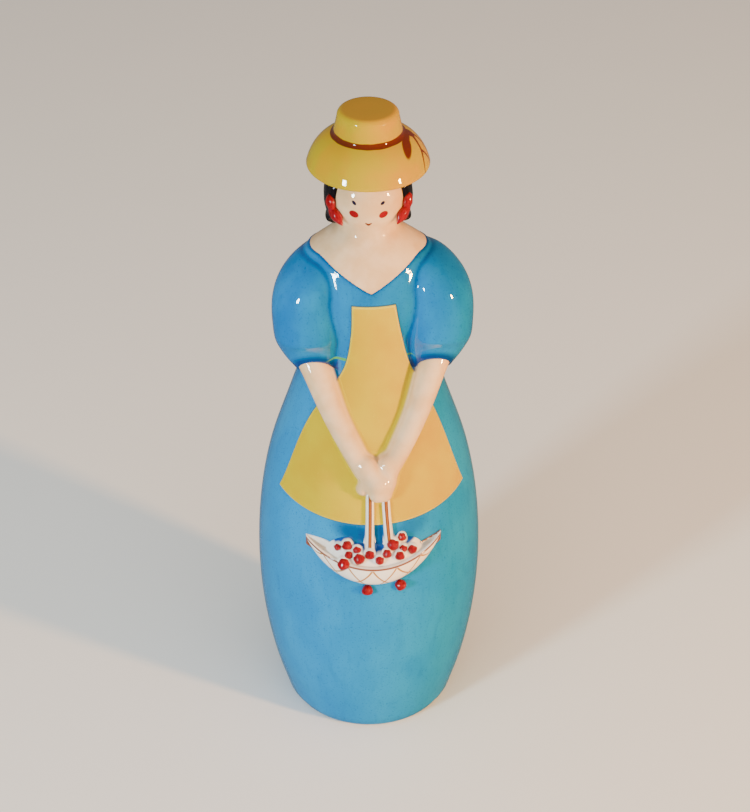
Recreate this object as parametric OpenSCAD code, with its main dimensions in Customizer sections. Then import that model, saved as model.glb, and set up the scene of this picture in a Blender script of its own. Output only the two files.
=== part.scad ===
// Porcelain bottle in the shape of a woman with a fruit basket.
// The yellow hat is the stopper: its hollow plug wears a cork sleeve that seats in the mouth of the head.
// Millimetres. +Z is up, the woman faces -Y, and the origin is the centre of the flat base.
// Left and right are her own: her left side is +X.

/* [Skirt] */
// Diameter of the flat ground base inside the rounded foot
base_d = 58; // [50:1:62]
// Radius of the rounded edge of the foot
foot_round = 4; // [2:0.5:6]
// Height of the lower swell above the base
lower_z = 25; // [20:1:30]
// Skirt diameter at the lower swell
lower_d = 79.6; // [76:0.2:82]
// Height of the belly, the widest place
belly_z = 75; // [68:1:82]
// Skirt diameter at the belly
belly_d = 89.6; // [86:0.2:92]
// Height of the hips
hip_z = 120; // [115:1:125]
// Skirt diameter at the hips
hip_d = 79.2; // [77:0.2:82]
// Height of the upper skirt
lap_z = 150; // [146:1:154]
// Skirt diameter at the upper skirt
lap_d = 60.4; // [58:0.2:62]
// Height of the waist, where skirt and bodice were joined
waist_z = 173; // [170:1:176]
// Waist diameter
waist_d = 45.6; // [44:0.2:48]
// Wall of the hollow castings
wall = 3.2; // [2.4:0.1:4]
// Floor over the flat base
floor_t = 4; // [3:0.5:6]

/* [Bodice and shoulders] */
// Height of the bust, the fullest place of the bodice
bust_z = 200; // [197:1:203]
// Width of the bodice at the bust
bust_w = 52; // [49:0.5:54]
// Depth of the bodice at the bust
bust_depth = 44.8; // [43:0.2:46]
// Height of the shoulders
shoulder_z = 214; // [212:0.5:216]
// Width across the shoulders
shoulder_w = 46.6; // [44:0.2:48]
// Depth through the shoulders
shoulder_depth = 32; // [30:0.5:34]
// Height of the neck joint under the head
neck_z = 225; // [223.5:0.5:226]
// Diameter of the neck joint
neck_d = 21.4; // [21:0.2:22.4]
// Height of the tip of the V neckline
vee_z = 203.7; // [201.5:0.1:206]
// Rise of the neckline from its tip to the shoulder
vee_rise = 11; // [9:0.5:11.5]
// Half the angle that the V takes round the body, in degrees
vee_half_angle = 55; // [45:1:65]
// Dip of the neckline at the back
back_dip = 3; // [0:0.5:4]

/* [Head and mouth] */
// Diameter of the head
head_d = 30; // [29:0.5:31]
// Height of the centre of the head above the neck joint
head_rise = 11; // [10.5:0.5:11.5]
// Outer diameter of the mouth collar
collar_d = 21.6; // [21:0.2:22]
// Height of the mouth rim above the neck joint
mouth_rise = 29; // [27:0.5:30]
// Diameter of the mouth bore
mouth_bore_d = 17.1; // [16:0.1:17.4]
// Length of the mouth bore
mouth_bore_l = 18; // [15:0.5:19]
// Thickness of the hair over the head
hair_t = 1.6; // [1.2:0.1:2]
// Fullness of the hair below the ears
hair_fall = 3.2; // [2.4:0.1:3.6]
// Half the angle of the face that the hair leaves bare, in degrees
face_half_angle = 48; // [42:1:54]

/* [Stopper hat] */
// Height of the hat's top above the mouth rim
hat_rise = 16; // [14.5:0.5:18]
// Diameter of the top of the crown
crown_top_d = 23; // [21:0.2:25]
// Diameter of the crown above the brim
crown_base_d = 25.6; // [25.4:0.2:27]
// Height of the crown above the brim
crown_h = 9.2; // [8:0.2:10]
// Radius of the crown's top edge
crown_round = 2.4; // [1.5:0.1:3]
// Diameter of the brim's rim
brim_d = 45.8; // [44:0.2:48]
// Drop of the brim from the crown to its rim
brim_drop = 13.4; // [12:0.2:14]
// Thickness of the hat
hat_wall = 2.4; // [2:0.1:2.8]
// Gap between the mouth rim and the hat's seat
seat_gap = 0.3; // [0.2:0.05:0.5]
// Diameter of the hollow plug under the hat
plug_d = 13; // [12:0.1:13.4]
// Bore of the hollow plug
plug_bore_d = 8; // [6:0.5:9]
// How far the plug stands below the cork
plug_tail = 1; // [0.5:0.5:1.5]
// Length of the cork sleeve
cork_l = 15.5; // [13:0.5:16]
// Running clearance on the radius, inside and outside the cork
cork_clearance = 0.05; // [0.02:0.01:0.1]

/* [Sleeves and arms] */
// Greatest width of a puffed sleeve
sleeve_w = 26.6; // [24:0.2:28]
// Greatest depth of a puffed sleeve
sleeve_depth = 30; // [27:0.5:32]
// Distance of the sleeve's middle from the centre plane
sleeve_x = 25; // [24:0.2:26]
// Thickness of a sleeve's shell
sleeve_wall = 2.6; // [2:0.1:3]
// Diameter of the forearm at the cuff
cuff_arm_d = 13.2; // [12:0.2:14]
// Lip of the cuff over the forearm
cuff_lip = 0.5; // [0.3:0.1:0.8]
// Diameter of the forearm at its middle
mid_arm_d = 11.2; // [10:0.2:12]
// Distance of a forearm's middle from the centre plane
mid_arm_x = 15.2; // [14:0.1:16.5]
// Height of the middle of the forearms
mid_arm_z = 154.3; // [152:0.1:157]
// Diameter of the wrist
wrist_d = 9.6; // [9:0.2:10.4]
// Distance of a wrist from the centre plane
wrist_x = 5.2; // [4.6:0.1:5.8]
// Height of the wrists
wrist_z = 138; // [136:0.5:140]
// How deep the arms' rounds are sunk into the skirt
arm_sink = 1.8; // [1.4:0.1:2.2]

/* [Apron] */
// Thickness of the apron in relief
apron_t = 0.6; // [0.4:0.1:1]
// Height of the top of the bib
bib_z = 199.5; // [197:0.5:201]
// Width of the top of the bib
bib_w = 16.4; // [15:0.2:18]
// Width of the apron at the waist
apron_waist_w = 26; // [24:0.5:28]
// Width of the apron at the upper skirt
apron_lap_w = 47; // [44:0.5:50]
// Height of the hem at the centre
hem_z = 111.6; // [110:0.2:114]
// Rise of the hem at its two corners
hem_rise = 4.8; // [3:0.2:6]
// Half the angle that the hem takes round the skirt, in degrees
hem_half_angle = 63; // [58:1:66]

/* [Basket] */
// Width of the basket between its tips
basket_w = 53.6; // [50:0.2:56]
// Height of the middle of the basket's rim
rim_z = 97; // [96:0.2:98]
// Rise of the rim from its middle to the tips
rim_rise = 6; // [5:0.5:7.5]
// Depth of the basket from its rim to its keel
basket_depth = 10.6; // [9:0.2:12]
// How far the rim stands out from the skirt
basket_proud = 7.5; // [6:0.5:8]
// Thickness of the rim
rim_t = 1.6; // [1.2:0.1:2]
// Height of the heap of fruit above the rim
heap_h = 9; // [7:0.5:10]
// Diameter of a handle strand
handle_d = 2.8; // [2.2:0.1:3.2]
// Share by which a berry stands out of the heap
berry_proud = 0.35; // [0.2:0.05:0.5]

/* [Hidden] */

// How deep a luted piece is keyed into the wall that carries it
key = 0.4;
// Facets round the faceted shells
round_steps = 44;
sleeve_steps = 30;
$fn = 96;

blue = [0.33, 0.62, 0.78];
skin = [0.90, 0.78, 0.66];
yellow = [0.92, 0.78, 0.20];
red = [0.70, 0.13, 0.14];
black = [0.08, 0.07, 0.09];
white = [0.94, 0.93, 0.89];
cork_brown = [0.72, 0.53, 0.34];

// Curves through a few rows, each [place, value, value ...]

function row_slope(rows, i, k) = (rows[i + 1][k] - rows[i][k]) / (rows[i + 1][0] - rows[i][0]);

function tangent(rows, i, k) =
  i == 0 ? row_slope(rows, 0, k)
  : i == len(rows) - 1 ? row_slope(rows, i - 1, k)
  : let (before = rows[i][0] - rows[i - 1][0], after = rows[i + 1][0] - rows[i][0])
    (row_slope(rows, i - 1, k) * after + row_slope(rows, i, k) * before) / (before + after);

function row_at(rows, t, i = 0) = i >= len(rows) - 2 || t <= rows[i + 1][0] ? i : row_at(rows, t, i + 1);

function curve(rows, t, k) =
  let (i = row_at(rows, t), h = rows[i + 1][0] - rows[i][0], u = (t - rows[i][0]) / h)
  (1 + 2 * u) * pow(1 - u, 2) * rows[i][k] + u * pow(1 - u, 2) * h * tangent(rows, i, k)
  + u * u * (3 - 2 * u) * rows[i + 1][k] + u * u * (u - 1) * h * tangent(rows, i + 1, k);

function mix(a, b, t) = a + (b - a) * t;

// The body: half width and half depth at each height

body_rows = [
  [0, base_d / 2 + foot_round, base_d / 2 + foot_round],
  [lower_z, lower_d / 2, lower_d / 2],
  [belly_z, belly_d / 2, belly_d / 2],
  [hip_z, hip_d / 2, hip_d / 2],
  [lap_z, lap_d / 2, lap_d / 2],
  [waist_z, waist_d / 2, waist_d / 2],
  [bust_z, bust_w / 2, bust_depth / 2],
  [shoulder_z, shoulder_w / 2, shoulder_depth / 2],
  [neck_z, neck_d / 2, neck_d / 2]
];

function half_width(z) = curve(body_rows, z, 1);
function half_depth(z) = z <= waist_z ? half_width(z) : curve(body_rows, z, 2);

// A point on the body, turned by angle from the front towards her left, and moved out by a distance
function on_body(angle, z, out = 0) =
  [(half_width(z) + out) * sin(angle), -(half_depth(z) + out) * cos(angle), z];

// The front of the skirt at a distance from the centre plane
function skirt_front(x, z) = -sqrt(pow(half_width(z), 2) - x * x);

// Closed shell from a list of rings of equal length: sides, and the join of the last ring to the first
function shell_faces(rings, n) = [
  for (j = [0:rings - 1], i = [0:n - 1])
    let (a = j * n, b = ((j + 1) % rings) * n, next = (i + 1) % n)
    each [[a + i, b + next, a + next], [a + i, b + i, b + next]]
];

// Closed lump from a list of rings: sides and the two ends, each end a fan round its middle point
function lump_faces(rings, n) = concat(
  [for (j = [0:rings - 2], i = [0:n - 1])
    let (a = j * n, b = (j + 1) * n, next = (i + 1) % n)
    each [[a + i, b + next, a + next], [a + i, b + i, b + next]]],
  [for (i = [0:n - 1]) [rings * n, i, (i + 1) % n]],
  [for (i = [0:n - 1]) [rings * n + 1, (rings - 1) * n + (i + 1) % n, (rings - 1) * n + i]]
);

function middle(ring) = [for (k = [0:2]) ring[0][k] / 2 + ring[floor(len(ring) / 2)][k] / 2];

module lump(rings) {
  n = len(rings[0]);
  points = concat([for (r = rings) each r], [middle(rings[0]), middle(rings[len(rings) - 1])]);
  polyhedron(points, lump_faces(len(rings), n));
}

module shell(rings) {
  polyhedron([for (r = rings) each r], shell_faces(len(rings), len(rings[0])));
}

// Skirt: a hollow turned casting, closed by the floor and open at the waist

skirt_step = 6;
skirt_heights = [for (z = [foot_round:skirt_step:waist_z - skirt_step / 2]) z];
skirt_outline = concat(
  [for (a = [0:15:75]) [base_d / 2 + foot_round * sin(a), foot_round * (1 - cos(a))]],
  [for (z = skirt_heights) [half_width(z), z]],
  [[half_width(waist_z), waist_z]]
);
inner_heights = [for (z = skirt_heights) if (z > floor_t + skirt_step / 2) z];
cavity_outline = concat(
  [[0, floor_t], [half_width(floor_t) - 2 * wall, floor_t]],
  [for (z = inner_heights) [half_width(z) - wall, z]],
  [[half_width(waist_z) - wall, waist_z]]
);

module skirt() {
  color(blue)
  rotate_extrude()
  polygon(concat([[0, 0]], skirt_outline, [for (i = [len(cavity_outline) - 1:-1:0]) cavity_outline[i]]));
}

// Neckline: a V in front that rises to the shoulders, and a shallow scoop behind

function neckline(angle) =
  let (turn = abs(angle > 180 ? angle - 360 : angle))
  vee_z + vee_rise * pow(sin(90 * min(turn / vee_half_angle, 1)), 1.1)
  - back_dip * (turn > 90 ? pow(sin(turn - 90), 2) : 0);

ring_angles = [for (i = [0:round_steps - 1]) 360 * i / round_steps];

// A ring round the body between two heights, where a height below 0 stands for the neckline
function body_ring(share, low, high, out) = [for (a = ring_angles)
  let (lo = low < 0 ? neckline(a) : low, hi = high < 0 ? neckline(a) : high)
  on_body(a, mix(lo, hi, share), out)];

module tube_between(low, high, steps) {
  outer = [for (j = [0:steps]) body_ring(j / steps, low, high, 0)];
  inner = [for (j = [steps:-1:0]) body_ring(j / steps, low, high, -wall)];
  shell(concat(outer, inner));
}

// Marks an edge that follows the neckline
at_neckline = -1;

module bodice() {
  color(blue) tube_between(waist_z, at_neckline, 8);
}

module bust() {
  color(skin) tube_between(at_neckline, neck_z, 5);
}

// Solid core of the body's outer surface, against which luted pieces are cut

core_low_z = belly_z;
core_steps = 16;

module body_core(shrink) {
  lump([for (j = [0:core_steps]) body_ring(j / core_steps, core_low_z, neck_z, -shrink)]);
}

// Head: a hollow ball with the mouth collar that the hat hides

head_z = neck_z + head_rise;
mouth_z = neck_z + mouth_rise;
head_r = head_d / 2;
bore_low_z = mouth_z - mouth_bore_l;
inner_r = head_r - wall;

function ball_r(radius, z) = sqrt(pow(radius, 2) - pow(z - head_z, 2));
// Height above or below the head's centre at which a ball has a given width
function ball_h(radius, half) = sqrt(pow(radius, 2) - pow(half, 2));

module head() {
  lip = (collar_d - mouth_bore_d) / 4;
  low_turn = asin(neck_d / 2 / head_r) - 90;
  high_turn = acos(collar_d / 2 / head_r);
  ball = [for (i = [0:14])
    let (a = mix(low_turn, high_turn, i / 14))
    [head_r * cos(a), head_z + head_r * sin(a)]];
  inside_low = neck_d / 2 - wall;
  inside = [for (i = [10:-1:0])
    let (a = mix(-acos(inside_low / inner_r), -8, i / 10))
    [inner_r * cos(a), head_z + inner_r * sin(a)]];
  color(skin)
  rotate_extrude()
  polygon(concat(
    [[inside_low, neck_z], [neck_d / 2, neck_z]],
    ball,
    [[collar_d / 2, mouth_z - lip], [collar_d / 2 - lip, mouth_z], [mouth_bore_d / 2, mouth_z]],
    [[mouth_bore_d / 2, bore_low_z]],
    inside
  ));
}

// Hair: a bob round the back of the head, from under the hat to the nape

module hair() {
  low_z = neck_z - 1.6;
  top_z = head_z + ball_h(head_r, collar_d / 2);
  rows = [
    [low_z, neck_d / 2 + 0.6],
    [low_z + 0.8, neck_d / 2 + hair_fall],
    [head_z - head_r / 2, ball_r(head_r, head_z - head_r / 2) + mix(hair_t, hair_fall, 0.6)],
    [head_z, head_r + hair_t],
    [head_z + head_r / 2, ball_r(head_r, head_z + head_r / 2) + hair_t],
    [top_z, collar_d / 2 + hair_t]
  ];
  steps = 16;
  outside = [for (i = [0:steps]) let (z = mix(low_z, top_z, i / steps)) [curve(rows, z, 1), z]];
  ball_low = neck_z + 0.4;
  inside = [for (i = [steps:-1:0])
    let (z = mix(ball_low, top_z, i / steps))
    [ball_r(head_r, z) - key, z]];
  color(black)
  rotate([0, 0, face_half_angle - 90])
  rotate_extrude(angle = 360 - 2 * face_half_angle)
  polygon(concat(outside, inside, [[neck_d / 2 - key, low_z]]));
}

// Clusters of red fruit at the ears, two lobes each: [across, height above the head's centre, half
// length, half width, tilt]

lobes = [[47, -0.6, 2.9, 2.1, 12], [40, -4.9, 3.8, 2.3, 38]];

module ear_cluster(side) {
  color(red)
  for (lobe = lobes)
    rotate([0, 0, side * lobe[0] - 90])
    translate([ball_r(head_r, head_z + lobe[1]), 0, head_z + lobe[1]])
    rotate([side * lobe[4], 0, 0])
    scale([lobe[3] * 0.85, lobe[3], lobe[2]])
    sphere(1, $fn = 18);
}

module left_ear_cluster() {
  ear_cluster(1);
}

module right_ear_cluster() {
  ear_cluster(-1);
}

// Puffed sleeve: rings along the upper arm, each [place, x, y, z, half width, half depth, tilt], where
// tilt turns a ring from level to face forward

puff_w = sleeve_w / 2;
puff_d = sleeve_depth / 2;
cuff_r = cuff_arm_d / 2 + cuff_lip;
cuff = [sleeve_x - 2.2, 4.8 - waist_d / 2, waist_z - 2.2];
sleeve_rows = [
  [0, sleeve_x - 6, 1, shoulder_z + 2.4, 2, 2.6, 0],
  [0.12, sleeve_x - 4.6, 0, shoulder_z + 0.2, puff_w * 0.56, puff_d * 0.58, 0],
  [0.3, sleeve_x - 1.6, -3.5, shoulder_z - 7, puff_w * 0.88, puff_d * 0.88, 0],
  [0.5, sleeve_x - 0.3, -6.5, bust_z - 4, puff_w, puff_d, 2],
  [0.68, sleeve_x, -9.5, bust_z - 14, puff_w, puff_d, 8],
  [0.84, sleeve_x - 0.2, -13, waist_z + 5, puff_w * 0.89, puff_d * 0.9, 24],
  [0.94, cuff[0] + 0.9, cuff[1] + 1.8, cuff[2] + 2.6, cuff_r + 2.1, cuff_r + 2.3, 42],
  [1, cuff[0], cuff[1], cuff[2], cuff_r, cuff_r, 52]
];

function sleeve_ring(t, side, out) =
  let (
    w = curve(sleeve_rows, t, 4) + out,
    d = curve(sleeve_rows, t, 5) + out,
    tilt = curve(sleeve_rows, t, 6)
  )
  [for (i = [0:sleeve_steps - 1])
    let (a = -360 * i / sleeve_steps)
    [side * curve(sleeve_rows, t, 1) + w * cos(a),
     curve(sleeve_rows, t, 2) + d * sin(a) * cos(tilt),
     curve(sleeve_rows, t, 3) - d * sin(a) * sin(tilt)]];

puff_steps = 14;

module sleeve_solid(side, first, last, out) {
  lump([for (j = [0:puff_steps]) sleeve_ring(mix(first, last, j / puff_steps), side, out)]);
}

module sleeve(side) {
  color(blue)
  difference() {
    sleeve_solid(side, 0, 1, 0);
    sleeve_solid(side, 0.1, 0.955, -sleeve_wall);
    body_core(key);
  }
}

module left_sleeve() {
  sleeve(1);
}

module right_sleeve() {
  sleeve(-1);
}

// Forearms: round rings along a bent line from inside the cuff, over the lap, to the wrist, each
// [place, x, y, z, radius]

forearm_rows = [
  [0, cuff[0] + 2.4, cuff[1] + 3.4, cuff[2] + 3.9, cuff_arm_d / 2],
  [0.15, cuff[0], cuff[1], cuff[2], cuff_arm_d / 2],
  [0.55, mid_arm_x, skirt_front(mid_arm_x, mid_arm_z) + arm_sink - mid_arm_d / 2, mid_arm_z, mid_arm_d / 2],
  [1, wrist_x, skirt_front(wrist_x, wrist_z) + arm_sink - wrist_d / 2, wrist_z, wrist_d / 2]
];
forearm_sides = 24;
forearm_steps = 14;

function forearm_at(t) = [for (k = [1:3]) curve(forearm_rows, t, k)];

function forearm_ring(t, side) =
  let (
    run = forearm_at(t + 0.01) - forearm_at(t - 0.01),
    along = run / norm(run),
    across = cross(along, [0, 0, 1]) / norm(cross(along, [0, 0, 1])),
    up = cross(along, across),
    r = curve(forearm_rows, t, 4),
    centre = forearm_at(t)
  )
  [for (i = [0:forearm_sides - 1])
    let (a = side * 360 * i / forearm_sides, p = centre + r * (cos(a) * across + sin(a) * up))
    [side * p[0], p[1], p[2]]];

module arm(side) {
  color(skin)
  difference() {
    lump([for (j = [0:forearm_steps]) forearm_ring(j / forearm_steps, side)]);
    body_core(key);
  }
}

module left_forearm() {
  arm(1);
}

module right_forearm() {
  arm(-1);
}

// Hands laid one over the other, wrapped hand by hand over balls: [across, distance out from the skirt,
// drop below the wrist, radius]

left_hand = [[5.4, 2.9, 1, 4.6], [5.6, 3.3, 7.5, 4.2], [4.4, 3.7, 12, 3.2]];
right_hand = [[-4.4, 3.7, 1, 4.7], [1.6, 4.9, 7, 4.4], [0.6, 4.1, 12.2, 3.4]];
right_thumb = [[-3, 3.8, 6.5, 3.4], [-5.6, 3.5, 11, 2.5], [-1, 4, 12, 2.6]];

module wrapped(balls) {
  hull()
  for (b = balls) {
    z = wrist_z - b[2];
    translate([b[0], skirt_front(b[0], z) - b[1], z]) sphere(b[3], $fn = 20);
  }
}

module hands() {
  color(skin)
  difference() {
    union() {
      wrapped(left_hand);
      wrapped(right_hand);
      wrapped(right_thumb);
    }
    body_core(key);
  }
}

// Apron: a thin sheet in relief that follows bodice and skirt

apron_rows = [
  [hem_z + hem_rise, half_width(hem_z + hem_rise) * sin(hem_half_angle)],
  [lap_z, apron_lap_w / 2],
  [waist_z, apron_waist_w / 2],
  [mix(waist_z, bib_z, 0.5), bib_w / 2 + 1.6],
  [bib_z, bib_w / 2]
];
apron_columns = 22;
apron_steps = 24;

function apron_angle(z) = asin(min(curve(apron_rows, max(z, hem_z + hem_rise), 1) / half_width(z), 0.99));

function apron_point(row, column, out) =
  let (
    across = 2 * column / apron_columns - 1,
    level = mix(hem_z, bib_z, row / apron_steps),
    lift = hem_rise * across * across * pow(1 - row / apron_steps, 2)
  )
  on_body(across * apron_angle(level + lift), level + lift, out);

module apron() {
  sheets = [for (out = [-key / 2, apron_t], row = [0:apron_steps], column = [0:apron_columns])
    apron_point(row, column, out)];
  wide = apron_columns + 1;
  face = (apron_steps + 1) * wide;
  edge = concat(
    [for (c = [0:apron_columns - 1]) c],
    [for (r = [0:apron_steps - 1]) r * wide + apron_columns],
    [for (c = [apron_columns:-1:1]) apron_steps * wide + c],
    [for (r = [apron_steps:-1:1]) r * wide]
  );
  color(yellow)
  polyhedron(sheets, concat(
    [for (r = [0:apron_steps - 1], c = [0:apron_columns - 1])
      let (p = r * wide + c)
      each [[p, p + 1, p + wide + 1], [p, p + wide + 1, p + wide]]],
    [for (r = [0:apron_steps - 1], c = [0:apron_columns - 1])
      let (p = face + r * wide + c)
      each [[p, p + wide + 1, p + 1], [p, p + wide, p + wide + 1]]],
    [for (i = [0:len(edge) - 1])
      let (a = edge[i], b = edge[(i + 1) % len(edge)])
      each [[a, face + a, face + b], [a, face + b, b]]]
  ));
}

// Basket: a boat-shaped bowl in high relief, filled with a heap of fruit

basket_r = basket_w / 2;
// Circles whose arcs are the rim and the keel
rim_arc = (pow(basket_r, 2) + pow(rim_rise, 2)) / (2 * rim_rise);
keel_rise = rim_rise + basket_depth;
keel_arc = (pow(basket_r, 2) + pow(keel_rise, 2)) / (2 * keel_rise);

function rim_height(x) = rim_z + rim_arc - sqrt(pow(rim_arc, 2) - x * x);
function keel_height(x) = rim_z - basket_depth + keel_arc - sqrt(pow(keel_arc, 2) - x * x);
// How far the tips and the heap's top stand out
tip_proud = 0.8;
heap_proud = 0.2;
function proud(x) = tip_proud + (basket_proud - tip_proud) * sqrt(max(1 - pow(x / basket_r, 2), 0));
// The heap's top against the skirt: full in the middle, sunk at the two tips
function heap_top(x) = max(
  rim_height(x) + heap_h * (1 - pow(x / (0.72 * basket_r), 4)),
  mix(keel_height(x), rim_height(x), 0.75)
);

// A section across the basket: [distance out from the skirt, height] all the way round
function basket_section(x) =
  let (
    p = proud(x),
    rim = rim_height(x),
    keel = keel_height(x),
    top = heap_top(x),
    inside = max(p - rim_t, heap_proud + 0.1),
    sink = min(0.6, (rim - keel) / 4)
  )
  concat(
    [[-wall / 2, keel]],
    [for (a = [90:-18:0]) [p * cos(a), rim - (rim - keel) * sin(a)]],
    [[p - rim_t * 0.3, rim + 0.6], [inside, rim + 0.3], [inside, rim - sink]],
    [[mix(inside, heap_proud, 0.5), mix(rim - sink, top, 0.55)], [heap_proud, top], [-wall / 2, top]]
  );

basket_steps = 26;
tip_margin = 0.985;

module basket() {
  sections = [for (i = [0:basket_steps])
    let (x = basket_r * tip_margin * cos(180 * i / basket_steps))
    [for (p = basket_section(x)) [x, skirt_front(x, p[1]) - p[0], p[1]]]];
  color(white)
  difference() {
    lump(sections);
    body_core(key);
  }
}

// Two strands of the handle, from the hands to the fruit: [across, height] of their ends

strands = [
  [[-1.6, wrist_z - 12], [-2, rim_z + 5]],
  [[4.4, wrist_z - 12], [5.8, rim_z + 7]]
];
strand_sides = 16;
strand_steps = 8;

// A ring round a strand, which follows the skirt and tapers at its end
function strand_ring(strand, j) =
  let (
    x = mix(strand[0][0], strand[1][0], j / strand_steps),
    z = mix(strand[0][1], strand[1][1], j / strand_steps),
    y = skirt_front(x, z) + key - handle_d / 2,
    r = handle_d / 2 * (j == strand_steps ? 0.6 : 1)
  )
  [for (i = [0:strand_sides - 1])
    let (a = -360 * i / strand_sides)
    [x + r * cos(a), y + r * sin(a), z]];

module basket_handle() {
  color(white)
  for (s = strands)
    lump([for (j = [0:strand_steps]) strand_ring(s, j)]);
}

// Berries on the heap and two below the basket: [across, height above the rim's middle, radius]

heap_berries = [
  [-14.7, 7, 1.4], [-11, 8.4, 1.9], [-7.3, 6.8, 1.5], [-10.5, 4.9, 1.6], [-6.4, 3.2, 2.2],
  [-2.4, 4.4, 1.9], [-12.4, 1.9, 2.4], [1.4, 2.6, 1.7], [4.2, 4.6, 1.8], [6.8, 8.4, 2.3],
  [10.4, 11.2, 1.7], [11.2, 7.4, 1.5], [9.3, 3.6, 1.9], [14.4, 5.3, 1.8]
];
low_berries = [[-2.8, -13.2, 2.1], [9.6, -12.2, 2.2]];

// How far the heap stands out from the skirt at a place
function heap_out(x, z) =
  let (rim = rim_height(x), top = heap_top(x), up = min(max((z - rim) / (top - rim), 0), 1))
  mix(proud(x) - rim_t, heap_proud, up);

module berry(b, out) {
  z = rim_z + b[1];
  translate([b[0], skirt_front(b[0], z) - out - berry_proud * b[2], z]) sphere(b[2]);
}

module berries() {
  color(red) {
    for (b = heap_berries) berry(b, heap_out(b[0], rim_z + b[1]));
    for (b = low_berries) berry(b, 0);
  }
}

// Cork sleeve between the plug and the mouth bore

cork_low_z = bore_low_z + 1;

module cork_sleeve() {
  color(cork_brown)
  translate([0, 0, cork_low_z])
  difference() {
    cylinder(h = cork_l, d = mouth_bore_d - 2 * cork_clearance);
    translate([0, 0, -1]) cylinder(h = cork_l + 2, d = plug_d + 2 * cork_clearance);
  }
}

// Hat: crown, brim and hollow plug in one turned casting

seat_z = mouth_z + seat_gap;
bottle_h = mouth_z + hat_rise;
brim_z = bottle_h - crown_h;
rim_low_z = brim_z - brim_drop;

function bend(a, b, c, t) = pow(1 - t, 2) * a + 2 * t * (1 - t) * b + t * t * c;

module hat() {
  crown_r = crown_top_d / 2;
  base_r = crown_base_d / 2;
  lip_r = hat_wall / 2;
  rim_r = brim_d / 2 - lip_r;
  brim_turn = [brim_d / 2 - 2.4, brim_z - 3.2];
  brim_top = [base_r, brim_z];
  brim_end = [rim_r + lip_r, rim_low_z + lip_r];
  under_start = [collar_d / 2 + 1, seat_z + 2];
  under_turn = [rim_r - 3.2, seat_z + 1.4];
  under_end = [rim_r - lip_r, rim_low_z + lip_r];
  steps = 10;
  corner = [for (a = [90:-15:0])
    [crown_r - crown_round + crown_round * cos(a), bottle_h - crown_round + crown_round * sin(a)]];
  brim = [for (i = [0:steps]) bend(brim_top, brim_turn, brim_end, i / steps)];
  lip = [for (a = [-20:-20:-160]) [rim_r + lip_r * cos(a), rim_low_z + lip_r + lip_r * sin(a)]];
  under = [for (i = [steps:-1:0]) bend(under_start, under_turn, under_end, i / steps)];
  plug_low_z = cork_low_z - plug_tail;
  inside_r = crown_r - hat_wall;
  color(yellow)
  rotate_extrude()
  polygon(concat(
    [[0, bottle_h]], corner, brim, lip, under,
    [[collar_d / 2 + 0.6, seat_z], [plug_d / 2, seat_z], [plug_d / 2, plug_low_z]],
    [[plug_bore_d / 2, plug_low_z], [plug_bore_d / 2, seat_z + hat_wall]],
    [[inside_r, seat_z + hat_wall + 1], [inside_r, bottle_h - hat_wall], [0, bottle_h - hat_wall]]
  ));
}

skirt();
bodice();
bust();
head();
hair();
left_ear_cluster();
right_ear_cluster();
left_sleeve();
right_sleeve();
left_forearm();
right_forearm();
hands();
apron();
basket();
basket_handle();
berries();
cork_sleeve();
hat();
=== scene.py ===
# %% [markdown]
# A porcelain bottle: a woman in a long dress, whose yellow hat is the stopper.
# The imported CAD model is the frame. Every piece made here stands for one or more of its solids, stays within
# a few millimetres of them and rides on their body. Lengths are worked out in millimetres, as a potter would,
# and turned into Blender's metres when a mesh is made. The woman faces -Y, and her left side is +X.

# %% Load the frame
import math

import bmesh
import bpy
import numpy as np
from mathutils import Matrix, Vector


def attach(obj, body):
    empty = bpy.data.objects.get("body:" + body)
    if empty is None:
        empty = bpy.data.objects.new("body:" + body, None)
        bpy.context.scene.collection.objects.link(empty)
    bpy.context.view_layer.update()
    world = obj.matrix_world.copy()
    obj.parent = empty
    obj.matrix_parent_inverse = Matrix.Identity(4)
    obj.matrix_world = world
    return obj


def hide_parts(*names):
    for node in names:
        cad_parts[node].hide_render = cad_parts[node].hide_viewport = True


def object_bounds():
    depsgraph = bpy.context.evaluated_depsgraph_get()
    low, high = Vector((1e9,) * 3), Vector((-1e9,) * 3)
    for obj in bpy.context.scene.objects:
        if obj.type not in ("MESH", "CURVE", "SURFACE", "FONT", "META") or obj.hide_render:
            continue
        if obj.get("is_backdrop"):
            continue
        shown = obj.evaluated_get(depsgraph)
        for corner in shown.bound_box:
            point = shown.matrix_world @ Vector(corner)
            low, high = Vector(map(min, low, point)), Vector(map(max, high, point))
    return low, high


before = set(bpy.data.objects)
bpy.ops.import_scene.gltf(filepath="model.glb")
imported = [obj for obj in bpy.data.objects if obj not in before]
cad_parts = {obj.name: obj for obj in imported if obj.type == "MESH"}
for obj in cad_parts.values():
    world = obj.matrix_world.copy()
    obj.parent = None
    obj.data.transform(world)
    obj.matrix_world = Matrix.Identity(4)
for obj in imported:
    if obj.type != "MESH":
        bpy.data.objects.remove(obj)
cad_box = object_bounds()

MM = 0.001

# %% [markdown]
# The camera comes first, so that every later step can be looked at from the right place.
# The photograph looks down on the bottle by 34 degrees, from a little to her right. A long lens keeps the
# figure nearly free of perspective. The small turn to the side puts the bottle left of the middle.

# %% Camera
CAMERA_OUT = 0.7836
CAMERA_HEIGHT = 0.6693
CAMERA_SIDE = math.radians(3)
LOOK_DOWN = math.radians(34.07)
TURN = math.radians(0.185)
LONG_SIDE_PIXELS = 812
FOCAL_PIXELS = 2400.3
FARTHEST_SEEN = 20

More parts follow.
